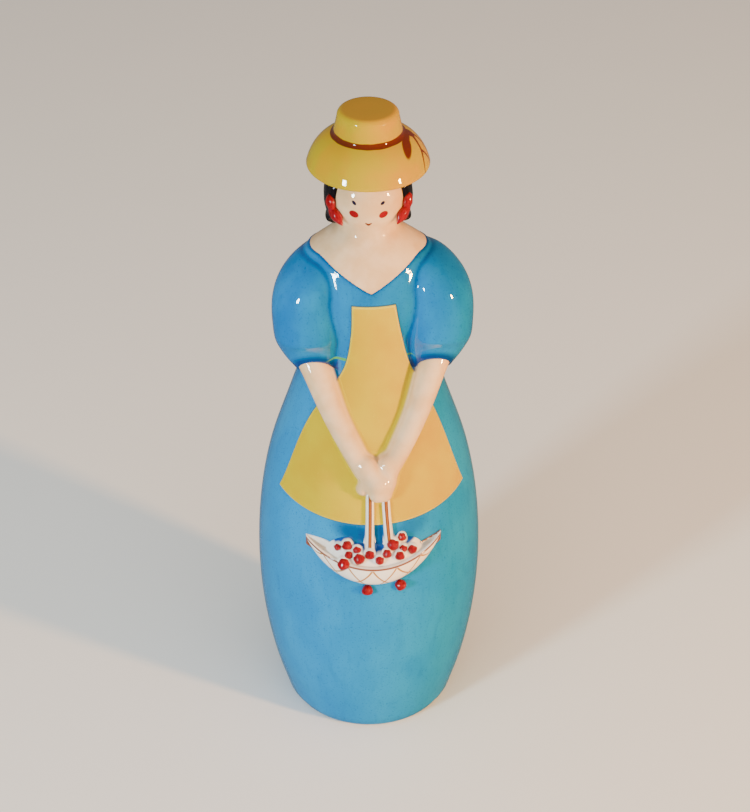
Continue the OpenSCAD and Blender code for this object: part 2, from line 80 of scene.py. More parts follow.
camera = bpy.data.objects.new("camera", bpy.data.cameras.new("camera"))
bpy.context.scene.collection.objects.link(camera)
bpy.context.scene.camera = camera
camera.location = (-CAMERA_OUT * math.sin(CAMERA_SIDE), -CAMERA_OUT * math.cos(CAMERA_SIDE),
                   CAMERA_HEIGHT)
camera.rotation_euler = (math.pi / 2 - LOOK_DOWN, 0, -CAMERA_SIDE - TURN)
camera.data.lens = FOCAL_PIXELS * camera.data.sensor_width / LONG_SIDE_PIXELS
camera.data.clip_end = FARTHEST_SEEN
print("lens:", round(camera.data.lens, 1), "mm")

# %% [markdown]
# The sizes of the casting are those of the CAD source, apart from the shoulders, which run down a little
# straighter, as in the photograph. A few rows of heights and half widths are enough: a smooth curve through
# them gives every place between.

# %% Curves through rows
BODY = [
    [0, 33, 33], [25, 39.8, 39.8], [75, 44.8, 44.8], [120, 39.6, 39.6], [150, 30.2, 30.2],
    [173, 22.8, 22.8], [200, 26, 22.4], [213.6, 22.7, 16], [218.6, 15.9, 13.2], [222, 11.8, 11.4],
    [225, 10.7, 10.7],
]
WAIST_Z = 173
WALL = 3.2


def curve(rows, places, column):
    """The value in one column of the rows, on a smooth curve through them, at any places"""
    rows = np.asarray(rows, float)
    at, value = rows[:, 0], rows[:, column]
    step = np.diff(at)
    slope = np.diff(value) / step
    tangent = np.concatenate([
        slope[:1],
        (slope[:-1] * step[1:] + slope[1:] * step[:-1]) / (step[:-1] + step[1:]),
        slope[-1:],
    ])
    s = np.clip(places, at[0], at[-1])
    i = np.clip(np.searchsorted(at, s) - 1, 0, len(step) - 1)
    u = (s - at[i]) / step[i]
    ends = (1 + 2 * u) * (1 - u) ** 2 * value[i] + u * u * (3 - 2 * u) * value[i + 1]
    pulls = u * (1 - u) ** 2 * tangent[i] + u * u * (u - 1) * tangent[i + 1]
    return ends + step[i] * pulls


def half_width(z):
    return curve(BODY, z, 1)


def half_depth(z):
    return np.where(np.asarray(z) <= WAIST_Z, curve(BODY, z, 1), curve(BODY, z, 2))


def on_body(angle, z, out=0):
    """Points on the body, turned by an angle from the front towards her left, and moved out"""
    return np.stack([(half_width(z) + out) * np.sin(angle), -(half_depth(z) + out) * np.cos(angle), z], -1)


def skirt_front(x, z):
    return -np.sqrt(np.maximum(half_width(z) ** 2 - np.square(x), 1))


print("widest place:", round(2 * float(half_width(75.0)), 1), "mm")

# %% [markdown]
# Cast porcelain has no sharp inner corners: glaze and slip fill them. So the castings are described as
# fields, numbers that are below zero inside the clay and grow outwards. Two fields join in a soft fillet
# when their smaller value is blended, and cutting takes the larger one.

# %% Blending fields
def join(a, b, soft):
    """Both shapes, with a fillet where they meet"""
    h = np.clip(0.5 + 0.5 * (b - a) / soft, 0, 1)
    return b + (a - b) * h - soft * h * (1 - h)


def carve(a, b, soft=0.0):
    """The shape a without what b counts as outside, with a rounded edge"""
    return -join(-a, -b, soft) if soft else np.maximum(a, b)


def body_field(p):
    """Dress and shoulders: an upright form with round or oval sections"""
    z = p[:, 2]
    wide, deep = half_width(z), half_depth(z)
    far = np.hypot(p[:, 0], p[:, 1]) + 1e-6
    share = np.hypot(p[:, 0] / wide, p[:, 1] / deep) + 1e-9
    lean = half_width(z + 0.5) - half_width(z - 0.5)
    return (far - far / share) / np.sqrt(1 + lean * lean)


VEE_Z, VEE_RISE, VEE_TURN, BACK_DIP = 203.7, 10.6, 62, 3


def neckline(p):
    """Height of the V neckline at the side where a point lies"""
    z = p[:, 2]
    turn = np.degrees(np.abs(np.arctan2(p[:, 0] / half_width(z), -p[:, 1] / half_depth(z))))
    rise = VEE_RISE * np.sin(np.radians(90 * np.minimum(turn / VEE_TURN, 1))) ** 1.1
    dip = np.where(turn > 90, BACK_DIP * np.sin(np.radians(turn - 90)) ** 2, 0)
    return VEE_Z + rise - dip


print("neckline:", VEE_Z, "to", VEE_Z + VEE_RISE, "mm")

# %% [markdown]
# A field becomes a mesh by walking over a fine grid. Wherever the field changes sign along an edge of the
# grid, the surface passes. Each cell that it passes gets one corner of the mesh, placed where the surface's
# slopes meet, so that rims stay crisp, and then drawn onto the surface, so that the glaze reflects cleanly.
# A coarse walk first finds the blocks that are far from the surface and skips them.

# %% From a field to a mesh
BLOCK = 4
NEAR_BLOCKS = 2.2
AT_ONCE = 60000
STIFFNESS = 0.04
ONE_SURFACE = 0.95
LONGEST_MOVE = 0.4
QUICK_COARSER = 1.0
print("grid blocks of", BLOCK, "cells, cells", QUICK_COARSER, "times as wide")


def slopes(field, points, reach):
    """Direction in which the field grows"""
    steps = np.eye(3) * reach
    grown = np.stack([field(points + s) - field(points - s) for s in steps], -1)
    return grown / (2 * reach)


def grid_values(field, low, cell, blocks):
    """The field on a grid: exact near the surface, and one value for a block elsewhere"""
    nodes = blocks * BLOCK
    index = np.stack(np.meshgrid(*[np.arange(b) for b in blocks], indexing="ij"), -1).reshape(-1, 3)
    middle = low + cell * BLOCK * (index + 0.5)
    value = field(middle).reshape(blocks)
    near = np.abs(value) < NEAR_BLOCKS * BLOCK * cell
    for axis in range(3):
        value, near = value.repeat(BLOCK, axis), near.repeat(BLOCK, axis)
    where = np.argwhere(near)
    exact = np.empty(len(where))
    for i in range(0, len(where), AT_ONCE):
        exact[i:i + AT_ONCE] = field(low + cell * where[i:i + AT_ONCE])
    value[tuple(where.T)] = exact
    for axis in range(3):
        ends = np.moveaxis(value, axis, 0)
        ends[0], ends[-1] = np.abs(ends[0]) + cell, np.abs(ends[-1]) + cell
    return value, nodes


def crossings(field, value, low, cell):
    """Every grid edge that passes the surface: its axis, start, place of passing and direction"""
    found = []
    inside = value < 0
    for axis in range(3):
        a = np.moveaxis(inside, axis, 0)
        where = np.argwhere(a[:-1] != a[1:])
        where = np.insert(where[:, 1:], axis, where[:, 0], 1)
        step = np.eye(3, dtype=int)[axis]
        va, vb = value[tuple(where.T)], value[tuple((where + step).T)]
        share = va / (va - vb)
        point = low + cell * (where + share[:, None] * step)
        found.append((axis, where, point, va < 0))
    return found


def contour(field, low, high, cell):
    """Closed mesh of quads where the field is zero: corners and faces"""
    cell = cell * QUICK_COARSER
    low = np.asarray(low, float) - 2 * cell
    blocks = np.ceil((np.asarray(high) + 2 * cell - low) / (cell * BLOCK)).astype(int)
    value, nodes = grid_values(field, low, cell, blocks)
    names, sums, quads = [], [], []
    for axis, where, point, outward in crossings(field, value, low, cell):
        normal = slopes(field, point, 0.1 * cell)
        normal /= np.linalg.norm(normal, axis=1)[:, None] + 1e-12
        off = (normal * point).sum(1)
        outer = normal[:, :, None] * normal[:, None, :]
        row = np.concatenate([outer.reshape(-1, 9), normal * off[:, None], point, normal,
                              np.ones((len(point), 1))], 1)
        u, v = np.eye(3, dtype=int)[(axis + 1) % 3], np.eye(3, dtype=int)[(axis + 2) % 3]
        ring = [np.ravel_multi_index((where - c).T, nodes) for c in (u + v, v, 0 * u, u)]
        quads.append(np.where(outward[:, None], np.stack(ring, 1), np.stack(ring[::-1], 1)))
        for cells in ring:
            names.append(cells)
            sums.append(row)
    cells, place = np.unique(np.concatenate(names), return_inverse=True)
    sums = np.concatenate(sums)
    total = np.stack([np.bincount(place, sums[:, k], len(cells)) for k in range(sums.shape[1])], 1)
    count = total[:, -1:]
    matrix, pull = total[:, :9].reshape(-1, 3, 3), total[:, 9:12]
    mean = total[:, 12:15] / count
    agreement = np.linalg.norm(total[:, 15:18], axis=1) / count[:, 0]
    stiff = matrix + STIFFNESS * count[:, :, None] * np.eye(3)
    left = pull - (matrix @ mean[:, :, None])[:, :, 0]
    best = mean + np.linalg.solve(stiff, left[:, :, None])[:, :, 0]
    corner = low + cell * np.stack(np.unravel_index(cells, nodes), 1)
    best = np.clip(best, corner, corner + cell)
    smooth = agreement > ONE_SURFACE
    for _ in range(2):
        drawn = best[smooth]
        growth = slopes(field, drawn, 0.1 * cell)
        move = field(drawn)[:, None] * growth / ((growth ** 2).sum(1)[:, None] + 1e-9)
        best[smooth] = drawn - np.clip(move, -LONGEST_MOVE * cell, LONGEST_MOVE * cell)
    rank = np.full(int(np.prod(nodes)), -1)
    rank[cells] = np.arange(len(cells))
    return best, rank[np.concatenate(quads)]


# %% [markdown]
# Every mesh made by numbers goes through the same last step: scale to metres, smooth shading with crisp
# rims, a material, and the body that it rides on. Numbers that the paint needs, such as how near a fold a
# point is, are kept with the mesh as named attributes.

# %% From numbers to a piece
def make_piece(name, corners, faces, material, body, slot, nodes, notes=None, crisp=50):
    mesh = bpy.data.meshes.new(name)
    mesh.from_pydata((np.asarray(corners) * MM).tolist(), [], [list(map(int, f)) for f in faces])
    mesh.validate()
    mesh.shade_smooth()
    mesh.set_sharp_from_angle(angle=math.radians(crisp))
    for label, values in (notes or {}).items():
        note = mesh.attributes.new(label, "FLOAT", "POINT")
        note.data.foreach_set("value", np.asarray(values, np.float32))
    piece = bpy.data.objects.new(name, mesh)
    bpy.context.scene.collection.objects.link(piece)
    mesh.materials.append(material)
    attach(piece, body)
    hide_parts(*nodes)
    print(f"{name}: {len(mesh.vertices)} corners, {len(mesh.polygons)} faces")


print("pieces are scaled by", MM)

# %% [markdown]
# Paint and glaze are node materials. Writing them as sums and products is far easier to read than a page of
# node calls, so a small class wraps a socket and lets Python's own signs add the Math nodes.

# %% Shader maths
class Wire:
    """An output socket that Python's signs work on"""

    def __init__(self, bench, socket):
        self.bench, self.socket = bench, socket

    def __add__(self, other):
        return self.bench.maths("ADD", self, other)

    def __sub__(self, other):
        return self.bench.maths("SUBTRACT", self, other)

    def __rsub__(self, other):
        return self.bench.maths("SUBTRACT", other, self)

    def __mul__(self, other):
        return self.bench.maths("MULTIPLY", self, other)

    def __truediv__(self, other):
        return self.bench.maths("DIVIDE", self, other)

    __radd__, __rmul__ = __add__, __mul__


class Bench:
    """The node tree of one material, with a glaze shader at its end"""

    def __init__(self, name, **constants):
        self.material = bpy.data.materials.new(name)
        self.material.use_nodes = True
        self.tree = self.material.node_tree
        self.glaze = self.tree.nodes["Principled BSDF"]
        for socket, value in constants.items():
            self.glaze.inputs[socket.replace("_", " ")].default_value = value
        place = self.add("ShaderNodeTexCoord", output="Object")
        self.place = self.add("ShaderNodeVectorMath", {"operation": "SCALE"}, {0: place, "Scale": 1000})
        self.x, self.y, self.z = [
            self.add("ShaderNodeSeparateXYZ", {}, {0: self.place}, output=axis) for axis in "XYZ"
        ]

    def add(self, kind, settings=None, inputs=None, output=0):
        """Any node: its settings first, then the values or links of its sockets"""
        node = self.tree.nodes.new(kind)
        for key, value in (settings or {}).items():
            if key == "stops":
                while len(node.color_ramp.elements) < len(value):
                    node.color_ramp.elements.new(0.5)
                for element, (position, colour) in zip(node.color_ramp.elements, value):
                    element.position, element.color = position, (*colour, 1)
            else:
                setattr(node, key, value)
        for key, value in (inputs or {}).items():
            if isinstance(value, Wire):
                self.tree.links.new(value.socket, node.inputs[key])
            else:
                node.inputs[key].default_value = value
        return Wire(self, node.outputs[output])

    def maths(self, operation, *values):
        return self.add("ShaderNodeMath", {"operation": operation}, dict(enumerate(values)))

    def rise(self, value, low, high):
        """0 below low, 1 above high, and a soft step between"""
        return self.add("ShaderNodeMapRange", {"interpolation_type": "SMOOTHSTEP"},
                        {"Value": value, "From Min": low, "From Max": high})

    def fall(self, value, low, high):
        return 1 - self.rise(value, low, high)

    def note(self, label):
        return self.add("ShaderNodeAttribute", {"attribute_name": label}, output="Fac")

    def noise(self, size, detail=2, stretch=(1, 1, 1)):
        """Even noise whose grains are about that many millimetres"""
        place = self.add("ShaderNodeVectorMath", {"operation": "MULTIPLY"},
                         {0: self.place, 1: [1 / (size * s) for s in stretch]})
        return self.add("ShaderNodeTexNoise", {}, {"Vector": place, "Scale": 1, "Detail": detail})

    def blend(self, share, first, second):
        """From the first colour to the second"""
        colours = {"Factor": share}
        for key, value in ((6, first), (7, second)):
            colours[key] = value if isinstance(value, Wire) else (*value, 1)
        return self.add("ShaderNodeMix", {"data_type": "RGBA"}, colours, output=2)

    def spot(self, across, up, middle, half, turn=0, soft=0.15):
        """An oval of paint in a plane: 1 inside, 0 outside"""
        a, b = across - middle[0], up - middle[1]
        c, s = math.cos(math.radians(turn)), math.sin(math.radians(turn))
        long, short = (a * c + b * s) / half[0], (b * c - a * s) / half[1]
        far = self.maths("SQRT", long * long + short * short)
        return self.fall(far, 1 - soft, 1 + soft)

    def stroke(self, across, up, start, end, half, soft=0.25):
        """A brush stroke in a plane from one point to another, half wide at start and end"""
        run = (end[0] - start[0], end[1] - start[1])
        a, b = across - start[0], up - start[1]
        along = self.maths("MINIMUM", self.maths("MAXIMUM", (a * run[0] + b * run[1])
                           * (1 / (run[0] ** 2 + run[1] ** 2)), 0.0), 1.0)
        off = self.maths("SQRT", self.square(a - along * run[0]) + self.square(b - along * run[1]))
        return self.fall(off - along * (half[1] - half[0]), half[0] - soft, half[0] + soft)

    def square(self, value):
        return value * value

    def most(self, first, *others):
        for other in others:
            first = self.maths("MAXIMUM", first, other)
        return first

    def finish(self, colour, bump=None, height=0.1):
        """Links the colour and the small waves of the glaze, given in millimetres"""
        self.tree.links.new(colour.socket, self.glaze.inputs["Base Color"])
        if bump is not None:
            normal = self.add("ShaderNodeBump", {},
                              {"Height": bump, "Strength": 1.0, "Distance": height * MM})
            self.tree.links.new(normal.socket, self.glaze.inputs["Normal"])
        return self.material


GLAZE = {
    "Roughness": 0.6, "Specular_IOR_Level": 0.0,
    "Coat_Weight": 1.0, "Coat_Roughness": 0.035, "Coat_IOR": 1.45,
}
print("glaze:", GLAZE)

# %% [markdown]
# The blue of the dress was brushed and sprayed on: a lively sky blue with fine darker specks, brush marks
# that run down the dress, and deeper blue where the glaze gathered in folds and along rims. The folds come
# as notes from the mesh, and the specks are noise at the grain of the real glaze. The blue turns lighter
# down the waist, by height alone, so that no step shows where the bodice laps over the skirt.

# %% Blue glaze
SKY = (0.001, 0.125, 0.33)
DEEP = (0.0005, 0.016, 0.12)
PALE_SKY = (0.003, 0.175, 0.40)
SKIRT_SKY = (0.004, 0.19, 0.42)
SKIRT_PALE = (0.008, 0.225, 0.46)
BLUE_TURNS = (140, 190)


def blue_glaze(name, fold_notes=()):
    paint = Bench(name, **GLAZE)
    low = paint.fall(paint.z, *BLUE_TURNS)
    light, lightest = paint.blend(low, SKY, SKIRT_SKY), paint.blend(low, PALE_SKY, SKIRT_PALE)
    cloud = paint.noise(16, 3, (1, 1, 1.8))
    brush = paint.noise(2.2, 2, (1, 1, 5))
    grain = paint.noise(0.7, 2)
    colour = paint.blend(paint.rise(cloud, 0.35, 0.68), light, lightest)
    colour = paint.blend(paint.rise(brush, 0.5, 0.8) * 0.14, colour, DEEP)
    colour = paint.blend(paint.rise(grain, 0.58, 0.72) * 0.35, colour, DEEP)
    for label, strength in fold_notes:
        colour = paint.blend(paint.note(label) * strength, colour, DEEP)
    return paint, colour, paint.noise(3.5, 2) + grain * 0.25


print("blues:", SKY, PALE_SKY, DEEP)

# %% [markdown]
# The skirt is a turned form, so its outline goes once round: up the outside, over the open waist, and down
# the inside of the wall. A ring of 168 steps keeps the silhouette round even in a close view.

# %% Skirt
SKIRT_TOP = 160
BUTT_GAP = 0.08
FOOT_R, FOOT_ROUND, FLOOR = 29, 4, 4
ROUND = 168


def turned(outline, steps=ROUND):
    """Corners and faces of an outline [radius, height] turned round the upright axis"""
    outline = np.asarray(outline, float)
    angles = np.arange(steps) * 2 * math.pi / steps
    corners, rings = [], []
    for r, z in outline:
        if r < 1e-6:
            rings.append([len(corners)] * steps)
            corners.append((0, 0, z))
        else:
            rings.append(list(range(len(corners), len(corners) + steps)))
            corners += [(r * math.sin(a), -r * math.cos(a), z) for a in angles]
    faces = []
    for low, high in zip(rings, rings[1:]):
        for i in range(steps):
            j = (i + 1) % steps
            face = list(dict.fromkeys([low[i], low[j], high[j], high[i]]))
            if len(face) > 2:
                faces.append(face)
    return corners, faces


foot = [(FOOT_R + FOOT_ROUND * math.sin(a), FOOT_ROUND * (1 - math.cos(a)))
        for a in np.radians(np.arange(0, 80, 10))]
rise_z = np.arange(5, SKIRT_TOP, 2.0)
outside = [(half_width(z), z) for z in rise_z] + [(half_width(SKIRT_TOP) - BUTT_GAP, SKIRT_TOP)]
inside = [(half_width(z) - WALL, z) for z in np.append(rise_z[rise_z > 8], SKIRT_TOP)][::-1]
skirt_outline = [(0, 0)] + foot + outside + inside + [(half_width(6.0) - 2 * WALL, FLOOR), (0, FLOOR)]
print("skirt outline:", len(skirt_outline), "places")

# %% [markdown]
# Above the basket the blue glaze has run deep and dark into the troughs beside the handle, and shade falls
# there too. Both are painted here as soft dark patches on the skirt's front: pooled glaze and painted shade.

# %% Skirt material and piece
BARE_CLAY = (0.75, 0.72, 0.66)

paint, colour, waves = blue_glaze("skirt glaze")
front = paint.fall(paint.y, -10, 0)
# pooled glaze and painted shade: dark patches above the basket, in the troughs beside the handle
pool = paint.most(
    paint.spot(paint.x, paint.z, (-7.5, 108), (8, 4.2), -20, 0.6),
    paint.spot(paint.x, paint.z, (1.6, 106), (3, 7), 0, 0.5),
    paint.spot(paint.x, paint.z, (14, 109), (7, 4), 20, 0.7) * 0.6,
)
colour = paint.blend(front * pool * 0.75, colour, DEEP)
colour = paint.blend(paint.fall(paint.z, 0.3, 2.5) * 0.5, colour, BARE_CLAY)
make_piece("skirt_casting", *turned(skirt_outline), paint.finish(colour, waves, 0.02), "bottle",
           "blue_glaze", ["skirt"])

# %% [markdown]
# The puffed sleeves follow a bent line: each ring of a sleeve has its own width, depth and tilt, from the
# shoulder down to the cuff, which faces forward. For any point the ring that it lies level with is found
# first, and then how far outside that ring's oval it is.

# %% Sleeves
PUFF_W, PUFF_D, SLEEVE_X, CUFF_R = 13.3, 15, 25, 7.1
CUFF = (SLEEVE_X - 2.2, -18, WAIST_Z - 2.2)
SLEEVE = np.array([
    [0, SLEEVE_X - 6.5, 0, 213.4, 2, 3, 0],
    [0.12, SLEEVE_X - 5.2, -1.4, 211, PUFF_W * 0.54, PUFF_D * 0.66, 0],
    [0.3, SLEEVE_X - 2.3, -4.4, 204.8, PUFF_W * 0.86, PUFF_D * 0.97, 0],
    [0.5, SLEEVE_X - 0.3, -7, 196, PUFF_W, PUFF_D, 2],
    [0.68, SLEEVE_X, -9.5, 186, PUFF_W, PUFF_D, 8],
    [0.84, SLEEVE_X - 0.2, -13, 178, PUFF_W * 0.89, PUFF_D * 0.9, 24],
    [0.94, CUFF[0] + 0.9, CUFF[1] + 1.8, CUFF[2] + 2.6, CUFF_R + 2.1, CUFF_R + 2.3, 42],
    [1, *CUFF, CUFF_R, CUFF_R, 52],
])
SHOULDER_SHIFT = 1.2
RING_STEPS = 96
ring_places = np.linspace(0, 1, RING_STEPS + 1)
ring_y, ring_z = curve(SLEEVE, ring_places, 2), curve(SLEEVE, ring_places, 3)
ring_tilt = np.radians(curve(SLEEVE, ring_places, 6))


def sleeve_field(p):
    """Both sleeves, by the side that a point is on. Returns the field and how far past the cuff"""
    above = (p[:, 1:2] - ring_y) * np.sin(ring_tilt) + (p[:, 2:3] - ring_z) * np.cos(ring_tilt)
    i = np.clip((above < 0).sum(1), 1, RING_STEPS)
    row = np.arange(len(p))
    share = np.clip(above[row, i - 1] / (above[row, i - 1] - above[row, i] + 1e-12), 0, 1)
    t = (i - 1 + share) / RING_STEPS
    x, y, z, wide, deep = [curve(SLEEVE, t, k) for k in range(1, 6)]
    tilt = np.radians(curve(SLEEVE, t, 6))
    across = np.abs(p[:, 0] - SHOULDER_SHIFT) - x
    along = (p[:, 1] - y) * np.cos(tilt) - (p[:, 2] - z) * np.sin(tilt)
    far = np.hypot(across, along) + 1e-6
    side = far - far / (np.hypot(across / wide, along / deep) + 1e-9)
    beyond = np.maximum(above[:, 0], 0) + np.maximum(-above[:, -1], 0)
    return side, beyond, t


def puff(p):
    side, beyond, _ = sleeve_field(p)
    return carve(side, beyond - 0.6, 1.2)


print("sleeve:", RING_STEPS, "rings, widest", 2 * PUFF_W, "mm")

# %% [markdown]
# Bodice and sleeves are one blue form, whose sleeves sit a little to her left, as on the real casting. They
# melt into the bodice in a fold, the V neckline cuts it off at the top with a slightly raised rim, and the
# wall is hollow inside. It laps over the skirt's upper edge with the same outer surface, so the dress reads
# as one.

# %% Bodice and sleeves
DRESS_LOW = 158
SLEEVE_WALL = 2.6
FOLD = 1.9
ROOF_X, ROOF_Z = 22, 214.3
STRING_GREEN = (0.10, 0.34, 0.02)


def dress_field(p):
    body, sleeve = body_field(p), puff(p)
    over = p[:, 2] - neckline(p)
    rim = 0.3 * np.exp(-np.square(over / 1.1))
    outer = join(body, sleeve, FOLD) - rim
    roof = p[:, 2] - ROOF_Z + 0.3 * np.maximum(np.abs(p[:, 0]) - ROOF_X, 0)
    solid = carve(outer, np.maximum(np.minimum(over, sleeve - 0.2), roof), 0.5)
    hollow = np.minimum(body + WALL, np.maximum(sleeve + SLEEVE_WALL, -body))
    return np.maximum(np.maximum(solid, DRESS_LOW - p[:, 2]), -hollow)


corners, faces = contour(dress_field, (-39, -33, DRESS_LOW), (39, 24, 218), 0.72)
side, beyond, t = sleeve_field(corners)
body = body_field(corners)
over = corners[:, 2] - neckline(corners)
notes = {
    "fold": np.clip(1 - np.abs(body - side) / 1.8, 0, 1) * np.clip(1 - np.abs(side) / 2, 0, 1),
    "cuff": np.clip((t - 0.955) / 0.04, 0, 1) * (np.abs(side) < 2) * (corners[:, 1] < -6),
    "rim": np.exp(-np.square(over / 0.7)) * (np.abs(body) < 1),
}
paint, colour, waves = blue_glaze("dress glaze", [("fold", 0.8), ("cuff", 0.85), ("rim", 0.6)])
string = paint.spot(paint.z, paint.x, (174.6, 0), (0.8, 16), 0, 0.15)
colour = paint.blend(string * paint.fall(paint.y, -14, -10) * 0.85, colour, STRING_GREEN)
make_piece("bodice_and_sleeves", corners, faces, paint.finish(colour, waves, 0.02), "bottle",
           "blue_glaze", ["bodice", "left_sleeve", "right_sleeve"], notes)

# %% [markdown]
# Head, neck and shoulders are cast in one too, in the body's pale skin tone. The head is a hollow ball with
# the mouth of the bottle on top: a short collar with the bore that the cork fits. The hat hides it.

# %% Head and shoulders
HEAD_Z, HEAD_R = 236, 15
NECK_TOP, NECK_HOLLOW_TOP = 231, 227
COLLAR_R, MOUTH_Z, BORE_R = 10.8, 254, 8.55


def head_field(p):
    body = body_field(p)
    shoulders = carve(body, p[:, 2] - NECK_TOP)
    far = np.hypot(p[:, 0], p[:, 1])
    up = p[:, 2] - HEAD_Z
    ball = np.hypot(far, up) - HEAD_R
    collar = carve(carve(far - COLLAR_R, p[:, 2] - MOUTH_Z, 1.4), -up)
    outer = join(join(shoulders, ball, 2.4), collar, 1.2)
    bore = np.maximum(far - BORE_R, -up)
    inside = np.maximum(body + WALL, p[:, 2] - NECK_HOLLOW_TOP)
    hollow = np.minimum(np.minimum(np.hypot(far, up) - (HEAD_R - WALL), bore), inside)
    low = neckline(p) - 1.2 - p[:, 2]
    return np.maximum(np.maximum(outer, low), -hollow)


corners, faces = contour(head_field, (-24, -23, 201), (24, 21, 254.5), 0.62)
print("head:", len(corners), "corners")

# %% [markdown]
# The face is painted with a fine brush: two small dark eyes that slant a little, round red cheeks, and a
# tiny smile. Each mark is an oval or a stroke in the plane that the face looks out of.

# %% Face paint
SKIN = (0.66, 0.40, 0.20)
SKIN_PALE = (0.74, 0.50, 0.29)
RED = (0.22, 0.003, 0.006)
BLACK = (0.004, 0.003, 0.004)
BROWN = (0.16, 0.030, 0.006)
LIPS = (0.11, 0.008, 0.003)
EYE_BLACK = (0.012, 0.010, 0.03)

paint = Bench("skin glaze", **GLAZE)
cloud = paint.noise(9, 3)
skin_colour = paint.blend(paint.rise(cloud, 0.35, 0.7), SKIN, SKIN_PALE)
skin_colour = paint.blend(paint.rise(paint.noise(0.6, 1), 0.68, 0.78) * 0.12, skin_colour, BROWN)
face = paint.fall(paint.y, -9, -6) * paint.rise(paint.z, 224, 226)
eyes = paint.most(
    paint.spot(paint.x, paint.z, (-5.9, 238.5), (0.98, 0.62), -50),
    paint.spot(paint.x, paint.z, (4.6, 238.4), (0.9, 0.62), 35),
)
cheeks = paint.most(
    paint.spot(paint.x, paint.z, (-6.0, 233.8), (1.8, 1.5), -35, 0.1),
    paint.spot(paint.x, paint.z, (4.9, 233.5), (1.8, 1.45), 35, 0.1),
)
smile = paint.most(
    paint.stroke(paint.x, paint.z, (-1.6, 229.7), (-0.6, 228.9), (0.3, 0.62), 0.12),
    paint.stroke(paint.x, paint.z, (-0.6, 228.9), (0.4, 229.7), (0.62, 0.3), 0.12),
)
colour = paint.blend(face * cheeks, skin_colour, RED)
colour = paint.blend(face * smile, colour, LIPS)
colour = paint.blend(face * eyes, colour, EYE_BLACK)
make_piece("head_and_shoulders", corners, faces, paint.finish(colour, paint.noise(4, 2), 0.02),
           "bottle", "skin_glaze", ["bust", "head"])

# %% [markdown]
# The apron is a thin sheet in low relief that follows bodice and skirt. Its rows are drawn across from edge
# to edge, closer together near the edges, where the sheet rounds off into a fine dark line of pooled glaze.
# The bib was laid on a little askew, so each side has its own width.

# %% Apron
APRON_T, KEY = 0.6, 0.4
HEM_Z, HEM_RISE, HEM_TURN, BIB_Z = 111.6, 4.8, 63, 199.5
HEM_HALF = float(half_width(HEM_Z + HEM_RISE)) * math.sin(math.radians(HEM_TURN))
APRON = [
    [HEM_Z + HEM_RISE, HEM_HALF, HEM_HALF], [150, 23.2, 24.4], [WAIST_Z, 10, 14.2],
    [(WAIST_Z + BIB_Z) / 2, 8, 11.4], [BIB_Z, 7.6, 9.2],
]
APRON_ACROSS, APRON_ROWS = 96, 150
EDGE_RELIEF, EDGE_ROUND = 0.06, 0.8


def apron_angle(z, across):
    """Turn of the apron's edge, on her right side where across is below zero, else on her left"""
    z = np.maximum(z, HEM_Z + HEM_RISE)
    half = np.where(across < 0, curve(APRON, z, 1), curve(APRON, z, 2))
    return np.arcsin(np.minimum(half / half_width(z), 0.99))


def apron_inset(across, level, z):
    """How far a place on the apron is from its nearest edge, in millimetres"""
    side = (1 - np.abs(across)) * apron_angle(z, across) * half_width(z)
    return np.minimum(side, np.minimum(level - HEM_Z, BIB_Z - level))


across = np.sin(np.linspace(-1, 1, APRON_ACROSS + 1) * math.pi / 2)[None, :]
level = (HEM_Z + (BIB_Z - HEM_Z) * (1 - np.cos(np.linspace(0, math.pi, APRON_ROWS + 1))) / 2)[:, None]
down = 1 - (level - HEM_Z) / (BIB_Z - HEM_Z)
apron_z = level + HEM_RISE * across ** 2 * down ** 2
apron_turn = across * apron_angle(apron_z, across)
inset = apron_inset(across, level + 0 * across, apron_z)
rounding = np.sqrt(1 - np.square(1 - np.clip((inset - 0.3) / EDGE_ROUND, 0, 1)))
relief = EDGE_RELIEF + (APRON_T - EDGE_RELIEF) * rounding
top = on_body(apron_turn, apron_z, relief).reshape(-1, 3)
back = on_body(apron_turn, apron_z, -KEY).reshape(-1, 3)
wide, half = APRON_ACROSS + 1, (APRON_ACROSS + 1) * (APRON_ROWS + 1)
sheet_faces = []
for r in range(APRON_ROWS):
    for c in range(APRON_ACROSS):
        a = r * wide + c
        sheet_faces.append([a, a + 1, a + wide + 1, a + wide])
        sheet_faces.append([half + a, half + a + wide, half + a + wide + 1, half + a + 1])
edge = ([c for c in range(APRON_ACROSS)] + [r * wide + APRON_ACROSS for r in range(APRON_ROWS)]
        + [APRON_ROWS * wide + c for c in range(APRON_ACROSS, 0, -1)]
        + [r * wide for r in range(APRON_ROWS, 0, -1)])
sheet_faces += [[b, a, half + a, half + b] for a, b in zip(edge, edge[1:] + edge[:1])]

YELLOW = (0.52, 0.36, 0.0)
GOLD = (0.49, 0.30, 0.0)
PALE_YELLOW = (0.66, 0.52, 0.04)
EDGE_LINE = (0.03, 0.09, 0.12)

paint = Bench("apron glaze", **GLAZE)
colour = paint.blend(paint.rise(paint.noise(18, 2), 0.3, 0.7), YELLOW, GOLD)
colour = paint.blend(paint.rise(paint.noise(0.8, 2), 0.6, 0.8) * 0.2, colour, PALE_YELLOW)
line = paint.note("inset")
colour = paint.blend(paint.fall(line, 0.6, 1.3) * 0.75, colour, PALE_YELLOW)
colour = paint.blend(paint.fall(line, 0.28, 0.45), colour, EDGE_LINE)
make_piece("apron_sheet", np.concatenate([top, back]), sheet_faces,
           paint.finish(colour, paint.noise(4, 2), 0.02), "bottle", "yellow_glaze", ["apron"],
           {"inset": np.concatenate([inset.ravel(), inset.ravel()])}, 60)

# %% [markdown]
# The forearms come out of the cuffs, run over the lap and meet in two soft mitten hands. They were pressed
# onto the body in wet clay, so each arm runs out into the apron in a fillet, and the brush blurred the
# skin tone into the yellow there. The piece is a thin skin of that fillet with the arms on it.

